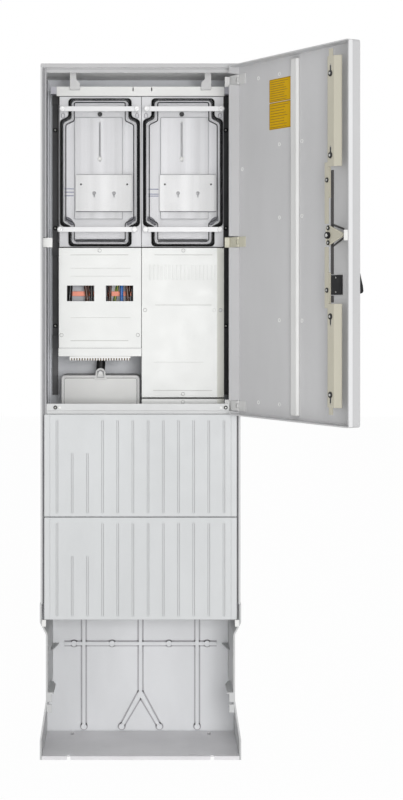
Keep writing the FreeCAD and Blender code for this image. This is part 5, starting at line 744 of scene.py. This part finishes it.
# Painted light: near white for the plate and screen behind the cover.
insulator_pale = moulding("insulator_pale", tone(238, 240, 245), rough=0.5)
insulator_dark = moulding("insulator_dark", tone(52, 50, 50), rough=0.5)
dress(copper, "busbars")
dress(insulator_pale, "busbar_plate")
dress(insulator_dark, "busbar_holders", "connection_strip")
behind_busbars = facing_front(span("busbars", "Y")[1] + 0.0145)
screen = plate((left_field, sum(span("busbars", "Z")) / 2), (0.1860, 0.196), 0.002, 0.0015,
               behind_busbars)
new_piece("wire_screen", [screen], insulator_pale, "column")

# Wires: single insulated wires that hang from the strip to the comb, in black, brown, blue and a
# yellow-and-green pair of stripes. The earth wire runs behind the bars.


def wire_sleeve(name, colour, second=None):
    """Glossy insulation with fine drawing marks along it, and a second colour in bands if
    given."""
    material = moulding(name, colour, grain=0.0008, rough=0.28, drift=0.1, edge=0.0003)
    if second:
        nodes, links = material.node_tree.nodes, material.node_tree.links
        bands = add_node(nodes, "TexWave", Scale=45.0)
        place = add_node(nodes, "TexCoord")
        halves = add_node(nodes, "ValToRGB")
        halves.color_ramp.interpolation = "CONSTANT"
        ends = halves.color_ramp.elements
        ends[0].color, ends[1].color = colour, second
        ends[1].position = 0.5
        links.new(place.outputs["Object"], bands.inputs["Vector"])
        links.new(bands.outputs["Fac"], halves.inputs["Fac"])
        links.new(halves.outputs["Color"], nodes["Principled BSDF"].inputs["Base Color"])
    return material


def hanging_wire(path, radius, sides=12, rows=48):
    """A tube of level rings whose centres follow the path's points by height, smoothed six times
    by the mean of each centre and its neighbours."""
    path = np.array(path)
    share, knots = np.linspace(0, 1, rows), np.linspace(0, 1, len(path))
    centre = np.stack([np.interp(share, knots, path[:, k]) for k in range(3)], axis=1)
    for _ in range(6):
        centre[1:-1] = (centre[:-2] + 2 * centre[1:-1] + centre[2:]) / 4
    angle = np.linspace(0, 2 * math.pi, sides, endpoint=False)
    ring = np.stack([np.cos(angle), np.sin(angle), 0 * angle], axis=1) * radius
    ends = centre[[0, -1]][:, None, :] + 0 * ring
    return np.concatenate([ends[:1], centre[:, None, :] + ring, ends[1:]])


black_sleeve = wire_sleeve("black_sleeve", tone(30, 30, 32))
brown_sleeve = wire_sleeve("brown_sleeve", tone(88, 54, 38))
blue_sleeve = wire_sleeve("blue_sleeve", tone(30, 112, 196))
earth_sleeve = wire_sleeve("earth_sleeve", tone(200, 192, 48), tone(60, 130, 62))
front_row, back_row, behind_bars = -0.015, -0.004, 0.0240
wire_levels = (1.1945, 1.345, 1.405, 1.4817)
wire_runs = [
    ("black_wire_left", black_sleeve, (-0.2060, -0.2165, -0.2120, -0.2040), front_row),
    ("black_wire_second", black_sleeve, (-0.1960, -0.2130, -0.2110, -0.2150), back_row),
    ("brown_wire_left", brown_sleeve, (-0.1480, -0.1590, -0.1670, -0.1760), front_row),
    ("brown_wire_second", brown_sleeve, (-0.1700, -0.1650, -0.1580, -0.1500), back_row),
    ("black_wire_middle", black_sleeve, (-0.1420, -0.1475, -0.1490, -0.1460), front_row),
    ("black_wire_right", black_sleeve, (-0.1130, -0.1060, -0.1020, -0.1000), front_row),
    ("brown_wire_third", brown_sleeve, (-0.0990, -0.0940, -0.0920, -0.0880), back_row),
    ("blue_wire", blue_sleeve, (-0.0600, -0.0570, -0.0565, -0.0580), front_row),
    ("brown_wire_right", brown_sleeve, (-0.0300, -0.0360, -0.0420, -0.0480), front_row),
    ("brown_wire_fourth", brown_sleeve, (-0.0480, -0.0400, -0.0320, -0.0250), back_row),
    ("earth_wire", earth_sleeve, (-0.0900, -0.0815, -0.0690, -0.0620), behind_bars),
]
for name, sleeve, xs, depth in wire_runs:
    path = [(x, depth, z) for x, z in zip(xs, wire_levels)]
    new_piece(name, [hanging_wire(path, 0.0050)], sleeve, "column")
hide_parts("insulated_wires")

# Comb board: a strip of brown pressed board behind the teeth of the cable comb, screwed to its
# back. The wires end above it.
board_brown = moulding("board_brown", tone(128, 110, 84), rough=0.6, drift=0.2)
comb_back = span("cable_comb", "Y")[1]
board = plate((left_field, 1.1810), (0.1800, 0.0115), 0.001, 0.0012,
              facing_front(comb_back + 0.002))
new_piece("comb_board", [board], board_brown, "column")

# Service box: a grey moulded box below the comb, whose lid has a half-round rim and a screwed lug
# at its top. The black rubber cable leaves the box behind the lug.
box_grey = moulding("box_grey", tone(228, 228, 226), rough=0.46)
rim_pale = moulding("rim_pale", tone(230, 230, 229), rough=0.38)
sheath_black = moulding("sheath_black", tone(26, 26, 28), rough=0.5, relief=0.00015)
dress(box_grey, "service_box_base", "service_box_lid")
dress(sheath_black, "service_cable")
box_middle = np.array((left_field, sum(span("service_box_base", "Z")) / 2))
lid_face = span("service_box_lid", "Y")[0]
on_rim, on_lid = facing_front(lid_face + hair), facing_front(lid_face + 0.0031)
lid_bead = carried(box_middle + rounded(0.2305, 0.3400, 0.0090, 8), bead(0.0062, 0.0020), on_rim)
new_piece("lid_bead", [lid_bead], rim_pale, "column")
lid_line = carried(box_middle + rounded(0.2205, 0.3300, 0.0060, 8), strip(0.0012, 0.0004), on_lid)
new_piece("lid_line", [lid_line], line_grey, "column", smooth=False)

# Lid lug: the lid's arched lug is rimmed by the same bead round a dark groove. One bright screw
# with a raised head holds it.
lug_radius, lug_level = 0.0128, 1.1352
arch = np.linspace(0, math.pi, 16)
lug_path = np.stack([left_field + lug_radius * np.cos(arch),
                     lug_level + lug_radius * np.sin(arch)], axis=1)
lug_path = np.concatenate([lug_path, [(-0.1380, 1.1165), (-0.1050, 1.1165)]])
new_piece("lug_bead", [carried(lug_path, bead(0.0046, 0.0022), on_rim)], rim_pale, "column")
lug_inner = (lug_path - (left_field, 1.1320)) * 0.66 + (left_field, 1.1325)
new_piece("lug_line", [carried(lug_inner, strip(0.0022, 0.0030), on_rim)], line_grey, "column",
          smooth=False)
lug_screw = [(0.0, 0.0016), (0.0016, 0.0016), (0.0020, 0.0034), (0.0046, 0.0030),
             (0.0056, 0.0006), (0.0056, 0.0), (0.0, 0.0)]
lug_heads = new_piece("lug_screw", [turned(lug_screw, (left_field, lid_face, lug_level), front)],
                      knob_white, "column")
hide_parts("service_box_screw")

# Door: one large pressed tray with a bonded white stiffener, hung on three hinges. The middle
# hinge is beige nylon, the other two grey.
joints = {joint["name"]: joint for joint in frame["joints"]}
hinge_across, hinge_depth, middle_hinge = joints["door_hinge"]["pos_m"]
hinge_reach = 0.1
# Painted shade: the door is a darker grey than the housing, for the shade on its inner face.
door_grey = moulding("door_grey", tone(200, 200, 201), rough=0.46)
stiffener_white = moulding("stiffener_white", tone(218, 218, 217), rough=0.42, edge=0.006)
beige_nylon = moulding("beige_nylon", tone(190, 186, 170), rough=0.42)
hinge_nylon = moulding("hinge_nylon", tone(208, 208, 207), rough=0.42)
second_tone(hinge_nylon, "Object", "Z", middle_hinge, hinge_reach, tone(200, 197, 178))
dress(door_grey, "door_panel")
dress(stiffener_white, "door_stiffener")
dress(hinge_nylon, "hinge_brackets", "hinge_leaves")

# Core marks: small round dimples with a raised rim, which the mould's pins leave on the door's
# inner face. The door stands open by 120 degrees.
open_angle = math.radians(joints["door_hinge"]["range_deg"][0])
door_out = np.array((math.sin(open_angle), math.cos(open_angle), 0.0))
door_along = np.array((-math.cos(open_angle), math.sin(open_angle), 0.0))
hinge_line = np.array((hinge_across, hinge_depth, 0.0))
hinge_gap = 0.0006


def on_door(along, height, rise):
    """A point of the open door from its distance to the hinge edge, its height and how far it
    stands off the inner face, for arrays too."""
    along, height, rise = np.broadcast_arrays(along, height, rise)
    start = hinge_line + hinge_gap * door_along
    return (start + along[..., None] * door_along + height[..., None] * np.array((0, 0, 1))
            + rise[..., None] * door_out)


core_mark = [(0.0, -0.0008), (0.0034, -0.0008), (0.0040, 0.0006), (0.0048, 0.0010),
             (0.0056, 0.0005), (0.0060, -0.0008), (0.0, -0.0010)]
mark_spots = [(0.104, 1.996), (0.209, 1.996), (0.209, 1.797), (0.318, 1.797), (0.209, 1.590),
              (0.318, 1.590), (0.209, 1.300), (0.318, 1.300), (0.104, 1.062), (0.209, 1.062),
              (0.020, 1.740)]
core_marks = [turned(core_mark, on_door(along, height, 0.0), door_out)
              for along, height in mark_spots]
new_piece("core_marks", core_marks, trim_white, "door")

# Edge band: a pale strip along the lip of the door's closing edge is a painted highlight on that
# edge. The lip enters the groove of the housing when the door is shut.


def on_edge(rise, height, off):
    """A point on the door's closing edge from its rise over the inner face, its height and how
    far it stands off the edge."""
    return on_door(0.5740 + off, height, rise)


door_foot, door_head = span("door_panel", "Z")
edge_band = fine_line((0.0270, (door_foot + door_head) / 2),
                      (0.0125, door_head - door_foot - 0.005), 0.003, 0.0003, on_edge)
new_piece("edge_band", [edge_band], bar_white, "door")

# Lock: beige nylon cam and rods inside, a black plate riveted beside them, and a black swing
# handle outside in a grey escutcheon. One shaft through the door joins handle and cam.
satin_black = moulding("satin_black", tone(26, 26, 28), rough=0.34)
shine(satin_black, 0.25)
dress(beige_nylon, "lock_cam", "upper_rod", "lower_rod")
dress(satin_black, "handle_hub", "handle_lever", "lock_plate", "shaft_nut")
dress(housing_grey, "escutcheon")

# Lock bolts: domed black bolts with a bright zinc socket, which is also a painted highlight. Four
# guide the rods in their slots, two stand on the cam, and one pins each rod to it. The shaft's nut
# has a larger bright socket, a painted highlight as well.
dome = [(0.0, 0.0020), (0.0022, 0.0020), (0.0030, 0.0028), (0.0046, 0.0026), (0.0064, 0.0018),
        (0.0072, 0.0004), (0.0072, 0.0), (0.0, 0.0)]
glint = [(0.0, 0.0034), (0.0014, 0.0034), (0.0028, 0.0030), (0.0034, 0.0022), (0.0034, 0.0014),
         (0.0, 0.0014)]


def bolt_set(name, spots, body, scale, replaced=None):
    """Domed black bolts with a bright socket that is also a painted highlight, at places given
    along, up and off the door.
    """
    heads = [turned(np.array(dome) * scale, on_door(*spot), door_out) for spot in spots]
    socket_glints = [turned(np.array(glint) * scale, on_door(*spot), door_out, sides=12)
               for spot in spots]
    piece = new_piece(name, heads, black_oxide, body)
    new_piece(name + "_sockets", socket_glints, zinc, body)
    if replaced:
        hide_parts(replaced)


guide_line, lock_level = 0.493, joints["handle_turn"]["pos_m"][2]
bolt_set("guide_bolts", [(guide_line, z, 0.0330) for z in (1.9615, 1.743, 1.313, 1.104)], "door",
         1.2, "guide_screws")
bolt_set("cam_heads", [(0.478, z, 0.0290) for z in (1.550, 1.510)], "handle", 0.95)
bolt_set("upper_rod_head", [(0.4776, 1.6778, 0.0326)], "upper_lock_rod", 1.0)
bolt_set("lower_rod_head", [(0.4776, 1.3832, 0.0326)], "lower_lock_rod", 1.0)
nut_socket = turned(np.array(glint) * 1.5, on_door(0.4779, lock_level, 0.0328), door_out)
new_piece("nut_socket", [nut_socket], zinc, "handle")

# Rod slots: the long slots in which the rods slide over their guide bolts, two in each rod. Only
# their ends show beyond the bolt heads, as black plates on the rods that are painted shade in the
# open slots.


def on_rod(along, height, rise):
    """A point on the face of a lock rod."""
    return on_door(along, height, rise + 0.0325)


for name, body, levels in (("upper_rod_slots", "upper_lock_rod", (1.9745, 1.756)),
                           ("lower_rod_slots", "lower_lock_rod", (1.2995, 1.0905))):
    slots = [fine_line((guide_line, level), (0.0046, 0.0180), 0.0022, 0.0003, on_rod)
             for level in levels]
    new_piece(name, slots, black_oxide, body)

# Cam rim: the beige nylon cam has a half-round bead round its edge, moulded with it. Its outline
# tapers from the rods' side to the tongue.
cam_back, cam_shoulder, cam_tip, half_back, half_tip = 0.4685, 0.480, 0.5400, 0.0245, 0.0035
cam_outline = [(cam_back, lock_level - half_back), (cam_shoulder, lock_level - half_back),
               (cam_tip, lock_level - half_tip), (cam_tip, lock_level + half_tip),
               (cam_shoulder, lock_level + half_back), (cam_back, lock_level + half_back)]
cam_beige = moulding("cam_beige", tone(204, 200, 182), rough=0.4)
cam_rim = carried(softened(cam_outline, 0.003), bead(0.0036, 0.0014) + (0, 0.0280), on_door)
new_piece("cam_rim", [cam_rim], cam_beige, "handle")

# Plate rivets: two small plated rivets with domed heads. They fix the black plate to the door.
rivet = [(0.0, 0.0016), (0.0012, 0.0015), (0.0022, 0.0008), (0.0024, 0.0), (0.0, 0.0)]
rivets = [turned(rivet, on_door(0.4775, z, 0.0030), door_out, sides=14) for z in (1.4170, 1.3785)]
new_piece("plate_rivets", rivets, zinc, "door")

# Rod shadow: dark strips on the door's inner face beside the rods, in two lengths, and round the
# outside of the cam are painted shadow of the rods and the cam.
shadow_left, shadow_right, shadow_wide = 0.4520, 0.4645, 0.0125
shadow_strips = [plate(((shadow_left + shadow_right) / 2, (low + high) / 2),
                 (shadow_wide, high - low), 0.002, 0.0012, on_door)
           for low, high in ((1.4260, 1.7070), (1.3500, 1.3690))]
cam_shadow_path = [(0.4596, 1.5600), (0.5080, 1.5470), (0.5170, 1.5400), (0.5170, 1.5290),
          (0.5080, 1.5215), (0.4596, 1.5010)]
shadow_strips.append(carried(softened(cam_shadow_path, 0.003), strip(0.0052, 0.0012), on_door))
channel_dark = moulding("channel_dark", tone(72, 70, 70), rough=0.6)
new_piece("rod_channel", shadow_strips, channel_dark, "door")

# Door labels: two amber plastic plates stuck to the inner face beside the stiffener. Each has a
# fine brown border and nine blank rules of uneven length.
label_thick, rule_count = 0.0005, 9
amber_film = moulding("amber_film", tone(212, 168, 0), rough=0.5, drift=0.1, edge=0.0002)
shine(amber_film, 0.15)
rule_brown = moulding("rule_brown", tone(126, 96, 10), rough=0.5, drift=0.2)


def on_label(along, height, rise):
    """A point on the face of a door label."""
    return on_door(along, height, rise + label_thick)


for name, bottom, top in (("upper_label", 1.9182, 1.9840), ("lower_label", 1.8410, 1.9168)):
    middle, high = (0.2172, (bottom + top) / 2), top - bottom
    film = fine_line(middle, (0.1144, high), 0.003, label_thick, on_door)
    new_piece(name, [film], amber_film, "door", smooth=False)
    border = carried(np.array(middle) + rounded(0.1110, high - 0.0034, 0.002),
                     strip(0.0012, 0.0003), on_label)
    lengths = 0.088 - 0.022 * np.abs(np.sin(np.arange(rule_count) * 2.3))
    rules = [fine_line((0.166 + wide / 2, top - 0.008 - step * (high - 0.014) / (rule_count - 1)),
                       (wide, 0.0012), 0.0005, 0.0003, on_label)
             for step, wide in enumerate(lengths)]
    new_piece(name + "_rules", rules + [border], rule_brown, "door", smooth=False)
